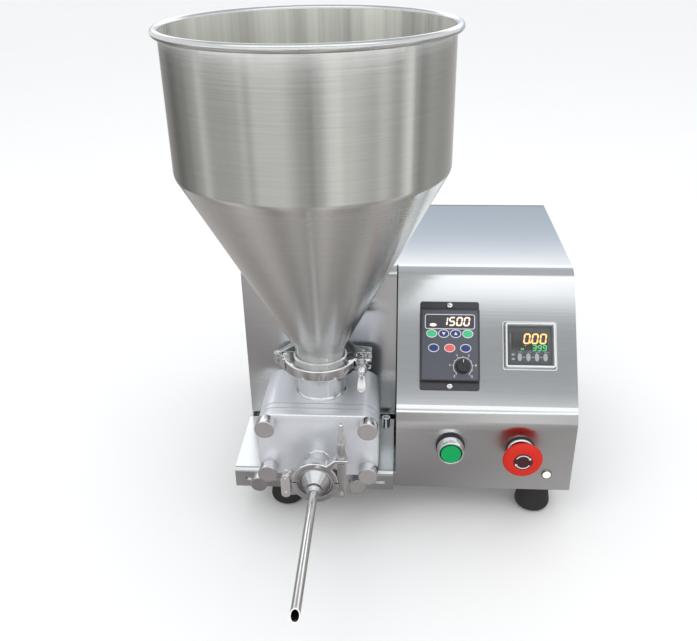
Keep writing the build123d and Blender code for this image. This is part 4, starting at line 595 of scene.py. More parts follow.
def clear_plastic():
    """Thin clear sheet: nearly invisible face on, whiter where it is seen edge on."""
    paint = Paint("clear_plastic", IOR=1.46)
    haze = paint.noise(60, 4)
    facing = paint.add("LayerWeight").outputs["Facing"]
    paint.feed(paint.shader, {"Alpha": paint.ranged(facing, 0.02, 0.75, 0.3, 0.95)})
    colour = paint.blend(haze, (0.9, 0.92, 0.93, 1), (0.97, 0.98, 0.98, 1))
    return paint.done(colour, paint.ranged(haze, 0.05, 0.12), haze, 0.03, 0.0003)


def hopper_inside():
    """Inside of the bowl: brushed round, with upright lighter and darker streaks painted into its colour as
    reflected bands, and a soft matt share.
    """
    paint = Paint("hopper_inside", Metallic=0.45, Anisotropic=0.5, Anisotropic_Rotation=0.25)
    coords = paint.split()
    flat = paint.add("CombineXYZ", coords["X"], coords["Y"]).outputs[0]
    bearing = paint.add("VectorMath", flat, operation="NORMALIZE").outputs["Vector"]
    streaks = paint.noise(3.4, 4, 0.6, bearing)
    fine = paint.noise((8, 8, 1100), 4, 0.7)
    share = paint.ranged(streaks, 0, 1, 0.36, 0.64)
    # Painted reflection: the streaks run the colour between darker and lighter bands round the bowl
    colour = paint.blend(share, linear((172, 173, 168)), linear((228, 229, 222)))
    return paint.done(colour, paint.ranged(streaks, 0.3, 0.22), fine, 0.03, 0.0004, "Z")


TURNED = turned_steel()
CLEAR = clear_plastic()
HOPPER_INSIDE = hopper_inside()

CARRIED = {
    COVER_STEEL: ("main_cover",),
    PAN_STEEL: ("base_pan", "rear_panel", "pump_tray"),
    SIDE_STEEL: ("left_side_panel", "right_side_panel", "console_cheek"),
    TUBE_STEEL: ("inlet_tube",),
    NEEDLE_STEEL: ("needle", "outlet_tube"),
    POLISHED: ("estop_stem", "foot_screws", "socket_bolts", "hopper_clamp_pins", "outlet_clamp_pins"),
    BLASTED: ("gearbox", "pump_mount_plate", "shaft_coupling"),
    GROUND: ("nozzle_cap", "drive_gear", "idler_gear", "drive_shaft", "idler_shaft", "motor_shaft",
             "motor_bracket"),
    RUBBER: ("clamp_gaskets", "pump_seals"),
    BRONZE: ("shaft_bushes",),
    BLACK: ("contact_blocks", "power_inlet"),
    MOTOR: ("motor_housing",),
}
for material, names in CARRIED.items():
    for name in names:
        for node_slot in nodes[name].material_slots:
            node_slot.material = material


# Hopper: one turned shell with a rolled bead
RIM_Z = 506.6
BEAD_R = 3.5
BEAD_CENTRE = 128.9
BEAD_STEPS = 28
BEAD_LOW = 0.5042
BOWL_R = 126.6
BOWL_IN = 125.4
CONE_TOP = 386.6
NECK_TOP = 195.3
TUBE_R = 25.4
TUBE_IN = 23.9
FERRULE_R = 32
FERRULE_Z = 181
bead = []
for k in range(BEAD_STEPS + 1):
    x, z = spot(BEAD_R, math.radians(-131 + 311 * k / BEAD_STEPS))
    bead.append((BEAD_CENTRE + x, RIM_Z + z))
outside = rounded_path([(TUBE_IN, FERRULE_Z), (FERRULE_R, FERRULE_Z, 0.5), (FERRULE_R, 183.85, 0.5),
                        (TUBE_R, 186.25, 1.2), (TUBE_R, NECK_TOP, 5), (BOWL_R, CONE_TOP, 2.6),
                        (BOWL_R, bead[0][1])])
inside = rounded_path([bead[-1], (BOWL_IN, CONE_TOP, 2.6), (TUBE_IN, NECK_TOP, 5),
                       (TUBE_IN, FERRULE_Z)])


def hopper_paint(poly):
    """Which material a face of the shell has: outside, bead or inside."""
    if poly.center.z > BEAD_LOW:
        return 1
    return 2 if poly.normal.xy.dot(poly.center.xy) < 0 else 0


piece("hopper_shell", revolve(outside[:-1] + bead + inside[1:-1], 160, closed=True), HOPPER,
      [HOPPER_STEEL, RIM_STEEL, HOPPER_INSIDE], "hopper", sharp=30, index=hopper_paint)

# Welded seam down the neck and the tube, and fillet welds where the tubes meet the pump
SEAM_TURN = -69
SEAMS = ((TUBE_R, 187.2, 196.5), (TUBE_R, 145.5, 173.4), (FERRULE_R, 181.6, 183.4))
UPRIGHT = frame_at((0, 0, 0), UP, RIGHT)
seams = []
for radius, low, high in SEAMS:
    strip = plate(rounded_rect(high - low, 1.5, 0.5), ((0, -0.4), (0, 0.05), (0.35, 0.2)))
    seams.append(shifted(placed(shifted(strip, (low + high) / 2, 0, radius), UPRIGHT), turn=SEAM_TURN))
piece("tube_seams", join(*seams), HOPPER, POLISHED)
piece("inlet_weld", hoop([(25, 144.3), (27, 144.3, 0.5), (26.2, 145.4, 0.7), (25.3, 146.2)], 96),
      HOPPER, TUBE_STEEL)
piece("outlet_weld", hoop([(12.6, -0.1), (14.4, -0.1, 0.5), (13.7, 0.9, 0.7), (12.9, 1.6)]),
      frame_at((AXIS_X, COVER_Y, OUTLET_Z), RIGHT, FRONT), TUBE_STEEL)


# Clamps, wing nuts and swing bolts

def hopper_rim(point):
    outer = math.hypot(point.x - AXIS_X, point.y - HOPPER_Y) > 38.9
    return outer and abs(abs(point.z - CLAMP_Z) - 6) < 0.05


def outlet_rim(point):
    outer = math.hypot(point.x - AXIS_X, point.z - OUTLET_Z) > 23.5
    return outer and abs(abs(point.y - OUTLET_Y) - 5.6) < 0.05


CLAMPS = {"hopper_clamp_front": (hopper_rim, 2.4), "hopper_clamp_rear": (hopper_rim, 2.4),
          "outlet_clamp_upper": (outlet_rim, 2), "outlet_clamp_lower": (outlet_rim, 2)}
for node, (rim, rim_width) in CLAMPS.items():
    softened(node, 0.7, [CLAMP_STEEL, POLISHED], 3, rim=rim, rim_width=rim_width)

# Full-height wedge where the front half of the hopper clamp runs out to its hinge
wedge = plate(polygon([(-39.4, 1), (-43.6, 4.6), (-34.8, 20), (-32, 16)]),
              ((1.2, -5.9), (0.3, -5.4), (0, -4.6), (0, 4.6), (0.3, 5.4), (1.2, 5.9)))
piece("hopper_clamp_wedge", wedge, CLAMP, CLAMP_STEEL, sharp=45)

WING_SHARES = (0, 0.1, 0.2, 0.3, 0.4, 0.5, 0.6, 0.7, 0.78, 0.84, 0.89, 0.93, 0.96, 0.98, 0.995)
WING_THICK = 2.7
WING_SAG = 0.5
WING_WIDEST = 0.65
WING_ROUND = 0.7
WING_SQUARE = 0.8


def wing(start, tip, width, steps=24):
    """A leaf that rises from (x, z) start to tip, widest past its middle, with a rounded end."""
    spine = Vector(tip) - Vector(start)
    across = Vector((-spine.y, spine.x)).normalized()
    rings = []
    for t in WING_SHARES:
        end = math.sqrt(1 - (max(0, t - WING_ROUND) / (1 - WING_ROUND)) ** 2)
        half = width / 2 * (0.5 + 0.5 * math.sin(math.pi / 2 * min(1, t / WING_WIDEST))) * end
        depth = WING_THICK / 2 * (1.35 - 0.5 * t) * end ** 0.7
        middle = Vector(start) + spine * t - across * WING_SAG * math.sin(math.pi * t)
        ring = []
        for angle in around(steps):
            c, d = [math.copysign(abs(v) ** WING_SQUARE, v) for v in spot(1, angle)]
            ring.append((middle.x + across.x * depth * d, half * c, middle.y + across.y * depth * d))
        rings.append(ring)
    return loft(rings)


def wing_nut(clamp, place, bore, hub, height, reach, rise, width):
    """A cast nut that stands on the local origin, with two leaf-shaped wings along the local x axis."""
    core = hoop([(bore, 0, 0.2), (hub + 0.8, 0, 0.3), (hub + 0.8, 1.1, 0.5), (hub, 2.6, 0.9),
                 (hub - 0.5, height - 1, 0.8), (bore + 1, height, 0.5), (bore, height - 0.6, 0.2)], 56)
    leaf = wing((bore + 1.2, 0.6 * height), (reach - 0.3, rise), width)
    piece(f"{clamp}_nut", join(core, leaf, shifted(leaf, turn=180)), place, NUT_STEEL,
          f"{clamp}_clamp_nut", f"{clamp}_wing_nut", 42)


BOLT_HOLE = 2.04


def swing_bolt(clamp, place, eye_r, half, rod_r, neck_end, end, pitch):
    """Eye, neck and threaded rod of a hinged clamp bolt; the rod runs along the local z axis."""
    ring, faces = hoop([(BOLT_HOLE, -half, 0.3), (eye_r, -half, 0.6), (eye_r, half, 0.6),
                        (BOLT_HOLE, half, 0.3)], 40)
    eye = [(x, z, y) for x, y, z in ring], faces
    root = 0.75 * eye_r
    neck = lathe([(0, root), (half, root), (half, neck_end + 0.3), (0, neck_end + 0.3)], 32)
    rod = thread(rod_r, 0.2 * rod_r, pitch, neck_end, end)
    piece(f"{clamp}_bolt", join(eye, neck, rod), place, POLISHED,
          f"{clamp}_clamp_bolt", f"{clamp}_swing_bolt", 50)


HOPPER_BOLT_X = AXIS_X + 44
OUTLET_BOLT_X = AXIS_X + 26.5
wing_nut("hopper", frame_at((HOPPER_BOLT_X, HOPPER_Y - 14.3, CLAMP_Z), UP, FRONT),
         4.04, 6.2, 10, 20, 21, 9.6)
wing_nut("outlet", frame_at((OUTLET_BOLT_X, OUTLET_Y, OUTLET_Z + 28.5), FRONT, UP),
         2.84, 4.6, 8, 9.6, 22.6, 8.2)
swing_bolt("hopper", frame_at((HOPPER_BOLT_X, HOPPER_Y + 8, CLAMP_Z), RIGHT, FRONT),
           5.5, 2.7, 4, 11, 39, 1.75)
swing_bolt("outlet", frame_at((OUTLET_BOLT_X, OUTLET_Y, OUTLET_Z - 12.6), RIGHT, UP),
           4.3, 2.9, 2.5, 8.6, 80.6, 2.4)

# Pump plates, and dark bands of painted shade along the joint lines between them
# The cover's rounded edges take the edge material, whose lighter colour is painted highlight
for node, width, paints in (("pump_body", 0.5, BLASTED), ("wear_plate", 0.5, BLASTED),
                            ("pump_cover", 1.2, [BLASTED, EDGE_HIGHLIGHT])):
    softened(node, width, paints, 4)
# Dark bands at the two joints, painted as the shade in the gaps between the plates
joint = band(rounded_rect(123.8, 73.8, 17.4, 10), 1.5, -0.7, 0.7)
piece("pump_joint_shade", join(*[shifted(joint, z=depth) for depth in (49.2, 40.2)]),
      frame_at((AXIS_X, 0, PUMP_Z), RIGHT, FRONT), SEAM_SHADE)

# Rolled lower edge of the recess wall
hem = lathe([(0, -156), (1, -156, 0.4), (1, 11.6, 0.4), (0, 11.6)], 24)
piece("wall_hem", hem, frame_at((0, 60.4, 65.4), (0, 1, 0), RIGHT), PAN_STEEL)

# Dark rubber strip behind the slit between the recess wall and the console, put there as painted shade that
# keeps the slit dark
SLIT_SHADE_Y = 61.3
SLIT_SHADE_BEND_Z = 242.5
SLIT_SHADE_BEND_R = 8.3
SLIT_SHADE_THICK = 1.2
SLIT_SHADE_STEPS = 8
slit_shade_path = [(SLIT_SHADE_Y, 67), (SLIT_SHADE_Y, SLIT_SHADE_BEND_Z)]
for k in range(1, SLIT_SHADE_STEPS + 1):
    y, z = spot(SLIT_SHADE_BEND_R, math.radians(180 - 90 * k / SLIT_SHADE_STEPS))
    slit_shade_path.append((SLIT_SHADE_Y + SLIT_SHADE_BEND_R + y, SLIT_SHADE_BEND_Z + z))
slit_shade_path.append((75, SLIT_SHADE_BEND_Z + SLIT_SHADE_BEND_R))
slit_shade_rings = []
for k, (y, z) in enumerate(slit_shade_path):
    ahead = Vector(slit_shade_path[min(k + 1, len(slit_shade_path) - 1)]) - Vector(slit_shade_path[max(k - 1, 0)])
    inward = Vector((ahead.y, -ahead.x)).normalized() * SLIT_SHADE_THICK
    slit_shade_rings.append([(x, y + inward.x * depth, z + inward.y * depth)
                       for x, depth in ((8.5, 0), (13.5, 0), (13.5, 1), (8.5, 1))])
piece("slit_shade_strip", loft(slit_shade_rings), ROW, RUBBER)


# Turned thumb screws

def box_of(node):
    """Lowest and highest corner of a node, in millimetres."""
    return [Vector(corner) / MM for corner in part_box(node)]


def thumb_screw(kind, i, seat, shank):
    """A turned head on its seat, with the node's own place, width and length."""
    node = f"{kind}_thumb_screw_{i}"
    low, high = box_of(node)
    radius = (high.x - low.x) / 2
    head = seat - low.y
    reach = high.y - seat
    shape = lathe([(0, head - 0.15), (0.35 * radius, head - 0.15, 1), (0.8 * radius, head, 1),
                   (radius, head, 1.1), (radius, 1.6, 0.5), (radius - 0.7, 0.9, 0.3),
                   (radius - 0.7, 0, 0.2), (shank, 0, 0.1), (shank, -reach + 0.6, 0.3),
                   (shank - 0.6, -reach, 0.2), (0, -reach)], 64)
    place = frame_at(((low.x + high.x) / 2, seat, (low.z + high.z) / 2), RIGHT, FRONT)
    piece(f"{kind}_screw_head_{i}", shape, place, TURNED, node, f"{kind}_screw_{i}")


for kind, count, seat, shank in (("cover", 4, COVER_Y, 4), ("tray", 2, TRAY_SEAT_Y, 3)):
    for i in range(1, count + 1):
        thumb_screw(kind, i, seat, shank)


# Start button on the console's lower face

def face_reach(node):
    """How far a node comes out of the lower face, and where it ends behind it."""
    low, high = box_of(node)
    return FRONT_Y - low.y, FRONT_Y - high.y


def button_gasket(name, place, radius, height, corner):
    shape = hoop([(11.2, 0, 0.2), (radius, 0, 0.3), (radius, height, corner), (11.2, height, 0.2)])
    piece(name, shape, place, RUBBER)


start = moved(FACE, 56.6, 54.4)
front, back = face_reach("start_cap")
button_gasket("start_gasket", start, 15.1, 4, 0.8)
ring = hoop([(4.04, 6), (11.24, 6), (11.24, 13.5, 0.4), (12, 14.3, 0.5), (13.2, 14.3, 0.8),
             (14.4, 11.4, 0.9), (14.4, 1.4, 0.3), (11, 1.4), (11, -19.5), (4.04, -19.5)], 96)
piece("start_ring", ring, start, CHROME, "start_bezel")
lens = lathe([(0, back), (4, back, 0.2), (4, front - 5), (10.3, front - 5, 0.2),
              (10.3, front - 0.4, 0.8), (9.6, front, 0.5), (8.9, front - 0.25, 0.4), (0, front - 0.25)])
piece("start_cap_lens", lens, start, GREEN, "start_cap", "start_button")
collar = hoop([(10.3, front - 4.9, 0.1), (11.2, front - 4.9, 0.2), (11.2, front - 2.2, 0.4),
               (10.3, front - 2.2, 0.2)])
piece("start_cap_collar", collar, start, BLACK, body="start_button")

# Mushroom stop button
ARROW_R = 7.7
stop = moved(FACE, 129.2, 52.2)
barrel_end = face_reach("estop_base")[1]
front, back = face_reach("estop_head")
button_gasket("stop_gasket", stop, 15.2, 2.4, 0.7)
collar = hoop([(8.4, 5, 0.4), (13.6, 5, 0.8), (14.5, 4, 0.6), (14.5, 1.3, 0.3), (11, 1.3),
               (11, barrel_end), (8.4, barrel_end)], 96)
piece("stop_collar", collar, stop, CHROME, "estop_base")
mushroom = lathe([(0, back + 6.5), (8.04, back + 6.5), (8.04, back, 0.3), (12.5, back, 1.5),
                  (19.2, back + 2.6, 2.6), (20.5, back + 4.8, 1.6), (19.6, front - 2.2, 2.2),
                  (15.5, front, 3.2), (10.1, front, 0.6), (9.7, front - 0.5, 0.3), (0, front - 0.5)], 96)
piece("stop_head", mushroom, stop, RED, "estop_head", "stop_mushroom")
label = plate(oval(19, 19, 64), ((0, front - 0.5), (0, front - 0.22), (0.2, front - 0.15)))
piece("stop_label_disc", label, stop, LABEL, body="stop_mushroom")
arrow_levels = (front - 0.2, front - 0.05)
arrow_tip = slab(polygon([(ARROW_R + 1.5, 0), (ARROW_R - 1.5, 0), (ARROW_R, -2.6)]), *arrow_levels)
arrow = join(arc_stroke(ARROW_R, 1, 35, 150, *arrow_levels), shifted(arrow_tip, turn=35))
arrows = join(arrow, shifted(arrow, turn=180))
piece("stop_label_arrows", arrows, stop, INK, body="stop_mushroom")

# Power lamp
lamp = moved(FACE, 159.2, 20.8)
back = face_reach("power_lamp")[1]
bezel = hoop([(4.3, -1), (4.3, 1.9, 0.2), (4.7, 2.2, 0.3), (5.4, 1.2, 0.4), (5.4, 0), (3.4, 0),
              (3.4, -1)], 56)
piece("lamp_bezel", bezel, lamp, LAMP_RING)
dome = lathe([(0, 2.4), (2.2, 2.25, 0.8), (4.25, 1.6, 0.6), (4.25, 0.2, 0.1), (3, 0.2),
              (3, back, 0.3), (0, back)], 56)
piece("lamp_lens_dome", dome, lamp, LAMP, "power_lamp")

# Speed controller
CASE_W = 61.5
CASE_L = 93.5
EAR = 8.6
FACE_H = 8
FILM_TOP = FACE_H + 0.15
FILM_X = 54
FILM_Y = 67.2
INK_LOW = FILM_TOP - 0.1
INK_TOP = FILM_TOP + 0.1
control = moved(PANEL, 54.2, 75.2)
base = plate(rounded_rect(CASE_W, CASE_L, 2.6), ((0, 0), (0, 2.3), (0.25, 2.8), (0.8, 3)))
block = plate(rounded_rect(CASE_W, CASE_L - 2 * EAR - 1, 1.2),
              ((0, 2.9), (0, 7), (0.35, 7.6), (1.1, 7.9), (1.6, FACE_H)))
behind = plate(rounded_rect(50, 70, 1), ((0.5, -34), (0, -33.5), (0, 0.1)))
piece("controller_case", join(base, block, behind), control, CASE, "speed_controller")
# Black strips beside the ends of the raised face: painted shade for the gaps at the ears
gap = plate(rounded_rect(CASE_W - 0.4, 2.2, 0.3), ((0, 2.7), (0, 3.25), (0.2, 3.35)))
piece("controller_gap_shade", join(shifted(gap, 0, -38.6), shifted(gap, 0, 38.6)), control, BLACK)
film = plate(rounded_rect(57, 72.5, 1), ((0, FACE_H - 0.3), (0, FILM_TOP - 0.05), (0.1, FILM_TOP)))
piece("controller_film", film, control, FILM)


def on_film(shape, x, y):
    """A shape moved to its place on the controller's face, as measured on the panel."""
    return shifted(shape, x - FILM_X, y - FILM_Y)


# Display, keys and marks of the controller
WINDOW_AT = (53.9, 91.4)
DIAL_AT = (67.2, 44.6)
DIAL_R = 9.6
DIAL_START = 230
ROW_1 = ((35.2, KEY_GREEN), (47.55, NAVY), (59.9, NAVY), (72.3, KEY_GREEN))
ROW_2 = ((37.2, NAVY), (53.7, KEY_RED), (70.1, NAVY))
ROW_1_Y = 78.7
ROW_2_Y = 63.6
window = slab(rounded_rect(50.4, 14.6, 2.2), INK_LOW, FILM_TOP + 0.02)
piece("controller_window", on_film(window, *WINDOW_AT), control, WINDOW)
prints = [on_film(band(rounded_rect(51.6, 15.8, 2.6), 0.75, INK_LOW, FILM_TOP + 0.12), *WINDOW_AT)]
key = plate(oval(10, 7.4), ((0, INK_LOW), (0, FILM_TOP + 0.25), (0.5, FILM_TOP + 0.5),
                            (1.6, FILM_TOP + 0.62)))
key_ring = band(oval(11.4, 8.8, 36), 0.75, INK_LOW, FILM_TOP + 0.3)
keys = {NAVY: [], KEY_GREEN: [], KEY_RED: []}
for row, y in ((ROW_1, ROW_1_Y), (ROW_2, ROW_2_Y)):
    for x, paint in row:
        keys[paint].append(on_film(key, x, y))
        prints.append(on_film(key_ring, x, y))
for x, way in ((47.55, -1), (59.9, 1)):
    pointer = polygon([(-1.9, -1.3 * way), (1.9, -1.3 * way), (0, 1.9 * way)])
    prints.append(on_film(slab(pointer, FILM_TOP + 0.3, FILM_TOP + 0.72), x, ROW_1_Y))
for paint, shapes in keys.items():
    piece(f"controller_keys_{paint.name}", join(*shapes), control, paint)
dial = [arc_stroke(DIAL_R, 0.6, -50, DIAL_START, INK_LOW, INK_TOP, 60)]
for k in range(11):
    angle = math.radians(DIAL_START - 28 * k)
    dial.append(bar(*spot(DIAL_R, angle), *spot(10.9 if k % 2 else 11.6, angle), 0.5, INK_LOW, INK_TOP))
for k, text in enumerate(("0", "2", "4", "6", "8", "10")):
    angle = math.radians(DIAL_START - 56 * k)
    left = 13.4 * math.cos(angle) - (0.5 if len(text) == 1 else 1.3)
    bottom = 13.2 * math.sin(angle) - 0.95
    dial.append(digits(text, left, bottom, 1, 1.9, 1.6, INK_LOW, INK_TOP, 0, 0.2))
prints += [on_film(mark, *DIAL_AT) for mark in dial]
piece("controller_prints", join(*prints), control, INK)
reading = digits("1500", 0, 0, 4.9, 8.2, 7.55, FILM_TOP, FILM_TOP + 0.12, 9, 0.17)
piece("controller_digits", on_film(reading, 45.6, 87.6), control, LIT_WARM)
light = plate(oval(7, 3.2), ((0, FILM_TOP), (0, INK_TOP), (0.5, FILM_TOP + 0.2)))
piece("controller_lamp", on_film(light, 36.6, 87.9), control, LIT_WARM)

# Pan-head screws with a cross recess
head = lathe([(0, 2), (1.6, 1.95, 0.8), (3, 1.3, 1), (3.3, 0.25, 0.4), (3.2, 0, 0.1), (1.8, 0),
              (1.8, -5.6, 0.3), (1.5, -6), (0, -6)], 40)
blade = plate(rounded_rect(3.6, 0.75, 0.15), ((0.35, 0.9), (0, 2.6)))
screw = carved(head, shifted(blade, turn=45), shifted(blade, turn=135))
seats = [moved(control, 0, side * 42.45, 3, 20 * side) for side in (-1, 1)]
seats += [moved(REAR, x, z, 0, 7 * x) for x in (28.5, 178, 327.5) for z in (8, 204)]
piece("pan_screws", join(*[placed(screw, seat) for seat in seats]), ROW,
      POLISHED, "panel_screws", sharp=30)

# Metal pins in the mains inlet
pin = lathe([(0, 2.75), (1.92, 2.75, 0.25), (1.92, -12.2), (0, -12.2)], 28)
socket = moved(REAR, 60, 45)
pins = [placed(pin, moved(socket, x, y)) for x, y in ((0, 2), (-7, -2), (7, -2))]
piece("inlet_pins", join(*pins), ROW, CHROME)

# Speed knob
KNOB_LOW = 8.3
FLUTES = 12
FLUTE_DEPTH = 0.28


def fluted(radius, height, angle):
    """The knob's radius, with shallow flutes on its side."""
    if radius <= 5.6 or height >= 7.2:
        return radius
    return radius - FLUTE_DEPTH * (0.5 + 0.5 * math.cos(FLUTES * angle))


knob = moved(PANEL, 67.4, 52.6)
knob_shape = lathe([(0, 0), (7.6, 0, 0.4), (7.5, 1.2, 0.3), (6.6, 7.6, 0.8), (5.6, 8, 0.6),
                    (4.6, 7.5, 0.8), (0, 7.4)], 96, wave=fluted)
piece("knob_body", shifted(knob_shape, z=KNOB_LOW), knob, BLACK, "speed_knob", "speed_dial")
piece("knob_pointer", bar(0, 3.4, 0, 6.2, 0.6, KNOB_LOW + 7.3, KNOB_LOW + 8.05), knob,
      INK, body="speed_dial")

# Timer
TIMER_H = 5
FACE_TOP = 4.3
MARK_LOW = FACE_TOP - 0.1
MARK_TOP = FACE_TOP + 0.1
SHOWN = FACE_TOP + 0.15
SHOWN_LEVELS = (SHOWN - 0.05, SHOWN + 0.1)
timer = moved(PANEL, 136.7, 76.4)
rim = plate(rounded_rect(46.2, 41.8, 1.6),
            ((0, 0), (0, 4.2), (0.35, 4.8), (0.9, TIMER_H), (1.7, TIMER_H), (2.3, FACE_TOP)))
behind = plate(rounded_rect(42.5, 38, 1), ((0.5, -58), (0, -57.5), (0, 0.1)))
piece("timer_case", join(rim, behind), timer, TIMER_CASE, "timer")
screen = plate(rounded_rect(36.8, 18.6, 1), ((0, FACE_TOP - 0.2), (0, MARK_TOP), (0.15, SHOWN)))
piece("timer_display", shifted(screen, -0.6, 4.3), timer, TIMER_DISPLAY)
piece("timer_digits", digits("0.00", -6.5, 2.1, 5.4, 9.6, 8.3, *SHOWN_LEVELS, 8, 0.16),
      timer, LIT_AMBER)
counter = join(digits("399", 2.3, -5.3, 3.4, 5.2, 5.2, *SHOWN_LEVELS, 8, 0.17),
               bar(-9.6, -3.9, -6.4, -3.9, 1, *SHOWN_LEVELS))
piece("timer_count", counter, timer, LIT_GREEN)

# Keys and marks on the timer's face
timer_key = plate(oval(4.5, 8.4, 24), ((0, MARK_LOW), (0, FACE_TOP + 0.25), (0.5, FACE_TOP + 0.5),
                                       (1.2, FACE_TOP + 0.6)))
small_key = plate(oval(3.6, 2.2, 20), ((0, MARK_LOW), (0, FACE_TOP + 0.25), (0.3, FACE_TOP + 0.35)))
marks = []
for x in (-10.7, -2, 6.7, 15.4):
    marks.append(shifted(timer_key, x, -12.4))
    marks.append(shifted(arc_stroke(4.4, 0.4, 60, 120, MARK_LOW, MARK_TOP, 10), x + 1.2, -11.2))
marks += [shifted(small_key, -17.4, y) for y in (-9.8, -14.4)]
marks += [bar(x - 1.2, -12.4, x + 1.2, -12.4, 0.8, MARK_LOW, SHOWN) for x in (-6.3, 2.3, 11.1)]
marks += [bar(-20.7, y, -19.5, y, 0.7, MARK_LOW, MARK_TOP) for y in (11, 9, 7, 5, 3)]
marks.append(shifted(slab(oval(1.3, 1.3, 16), *SHOWN_LEVELS), -4.7, -0.4))
piece("timer_keys", join(*marks), timer, GREY_INK)

# Clear cover over the timer
softened("timer_cover", 0.35, CLEAR, 2, "timer_window")
# White bands on the cover's rims and bottom lip: painted highlights of its edges
edges = [band(rounded_rect(50.3, 45.9, 1.8), 1.5, 8.3, 8.6),
         band(rounded_rect(55.5, 51.1, 2.7), 1, 1.2, 1.72),
         shifted(slab(rounded_rect(46, 0.3, 0.1), 1.7, 8.3), 0, -22.95)]
piece("timer_cover_edge_glints", join(*edges), timer, CLEAR_EDGE_GLINT, body="timer_window")

# Rubber feet
FOOT_R = 19.5
low, high = box_of("rubber_feet")
foot = hoop([(7.5, 0, 0.5), (12.5, 0, 3), (17.4, 2.2, 3.4), (19.2, 6.6, 2.6), (18.2, 12, 4),
             (14.9, 34, 2), (14.2, 40, 0.3), (3.02, 40), (3.02, 16), (7.5, 16, 0.5)], 64)
columns = (low.x + FOOT_R, high.x - FOOT_R)
rows = (low.y + FOOT_R, high.y - FOOT_R)
for i, (x, y) in enumerate([(x, y) for x in columns for y in rows]):
    place = frame_at((x, y, 0), RIGHT, UP)
    piece(f"foot_{i + 1}", foot, place, RUBBER, None if i else "rubber_feet")


# Studio

def stage_mesh(name, verts, faces, material):
    mesh = bpy.data.meshes.new(name)
    mesh.from_pydata(verts, [], faces)
    mesh.materials.append(material)
    obj = added(name, mesh)
    return obj


def card(name, verts, faces, net, location):
    """A stage mesh seen in reflections and nowhere else."""
    obj = stage_mesh(name, verts, faces, net.owner)
    for kind in ("camera", "diffuse", "shadow", "transmission", "volume_scatter"):
        setattr(obj, "visible_" + kind, False)
    obj.location = location


floor = Paint("floor_paint", Roughness=0.9, Specular_IOR_Level=0.1)
floor_tone = floor.blend(floor.noise(3), (0.86, 0.86, 0.86, 1), (0.88, 0.88, 0.88, 1))
floor.feed(floor.shader, {"Base Color": floor_tone})
stage_mesh("floor", [(-6, -6, 0), (6, -6, 0), (6, 6, 0), (-6, 6, 0)], [[0, 1, 2, 3]], floor.owner)


def glow(name, strength):
    """A material that is white light."""
    net = Net(bpy.data.materials.new(name))
    net.nodes.remove(net.nodes["Principled BSDF"])
    light = net.add("Emission", Color=(1, 1, 1, 1), Strength=strength)
    net.feed(net.nodes["Material Output"], {"Surface": light.outputs["Emission"]})
    return net


def banded_glow(name, rise, run, strength, stops):
    """Light that changes with the angle of (run, rise) about the card's origin: (degrees, level, blue)."""
    net = glow(name, strength)
    coords = net.split()
    angle = net.add("Math", coords[rise], coords[run], operation="ARCTAN2").outputs[0]
    colours = []
    for degrees, level, blue in stops:
        level /= strength
        colours.append(((degrees + 180) / 360, (level * (1 - 0.1 * blue), level, level * (1 + 0.14 * blue))))
    bands = net.ramp(net.ranged(angle, 0, 1, -math.pi, math.pi), colours, "EASE")
    net.feed(net.nodes["Emission"], {"Color": bands})
    return net


def fading_glow(name, stops, rays):
    """Light that changes with the share of the radius, by (share, level), and with azimuth."""
    net = banded_glow(name, "Y", "X", 1.4, [(*ray, 0) for ray in rays])
    length = net.add("VectorMath", net.coords(), operation="LENGTH").outputs["Value"]
    colours = [(share, (level, level * 0.935, level * 0.91)) for share, level in stops]
    fade = net.ramp(net.ranged(length, 0, 1, 0, RING_R), colours)
    both = net.blend(1, fade, net.nodes["Color Ramp"].outputs["Color"], "MULTIPLY")
    net.feed(net.nodes["Emission"], {"Color": both})
    return net


def wall_of(points, shift):
    """Quads between a line of points and the same line shifted."""
    count = len(points)
    verts = list(points) + [tuple(c + d for c, d in zip(point, shift)) for point in points]
    return verts, [[k, k + 1, count + k + 1, count + k] for k in range(count - 1)]


# A low ring gives the hopper its upright bands: (azimuth, level), 0 towards +X and -90 to the front
RING_R = 0.8
RING_H = 0.4
RING_AT = (AXIS_X * MM, HOPPER_Y * MM, 0)
RING = ((-180, 0.4), (-175, 0.48), (-170, 0.64), (-160, 0.46), (-149, 0.46), (-139, 0.5), (-133, 0.61),
        (-129, 0.51), (-123, 0.69), (-106, 0.7), (-89, 0.42), (-85, 0.35), (-80, 0.48), (-70, 0.83),
        (-66, 0.87), (-60, 0.73), (-39.5, 0.55), (-32, 0.67), (-20, 0.46), (-8, 0.88), (-2.5, 0.45),
        (3, 0.33), (15, 0.42), (32, 0.38), (100, 0.7), (139, 0.28), (154, 0.18), (171, 0.28), (180, 0.4))
ring_points = [(*spot(RING_R, angle), 0) for angle in around(96) + [2 * math.pi]]
ring_glow = banded_glow("ring_glow", "Y", "X", 1, [(*stop, -0.25) for stop in RING])
card("studio_ring", *wall_of(ring_points, (0, 0, RING_H)), ring_glow, RING_AT)

# A strip above the ring draws a thin light line on rounded edges
strip_points = [(*spot(RING_R, math.radians(azimuth)), RING_H + 0.01) for azimuth in range(-165, -14, 5)]
card("studio_strip", *wall_of(strip_points, (0, 0, 0.07)), glow("strip_glow", 2), RING_AT)

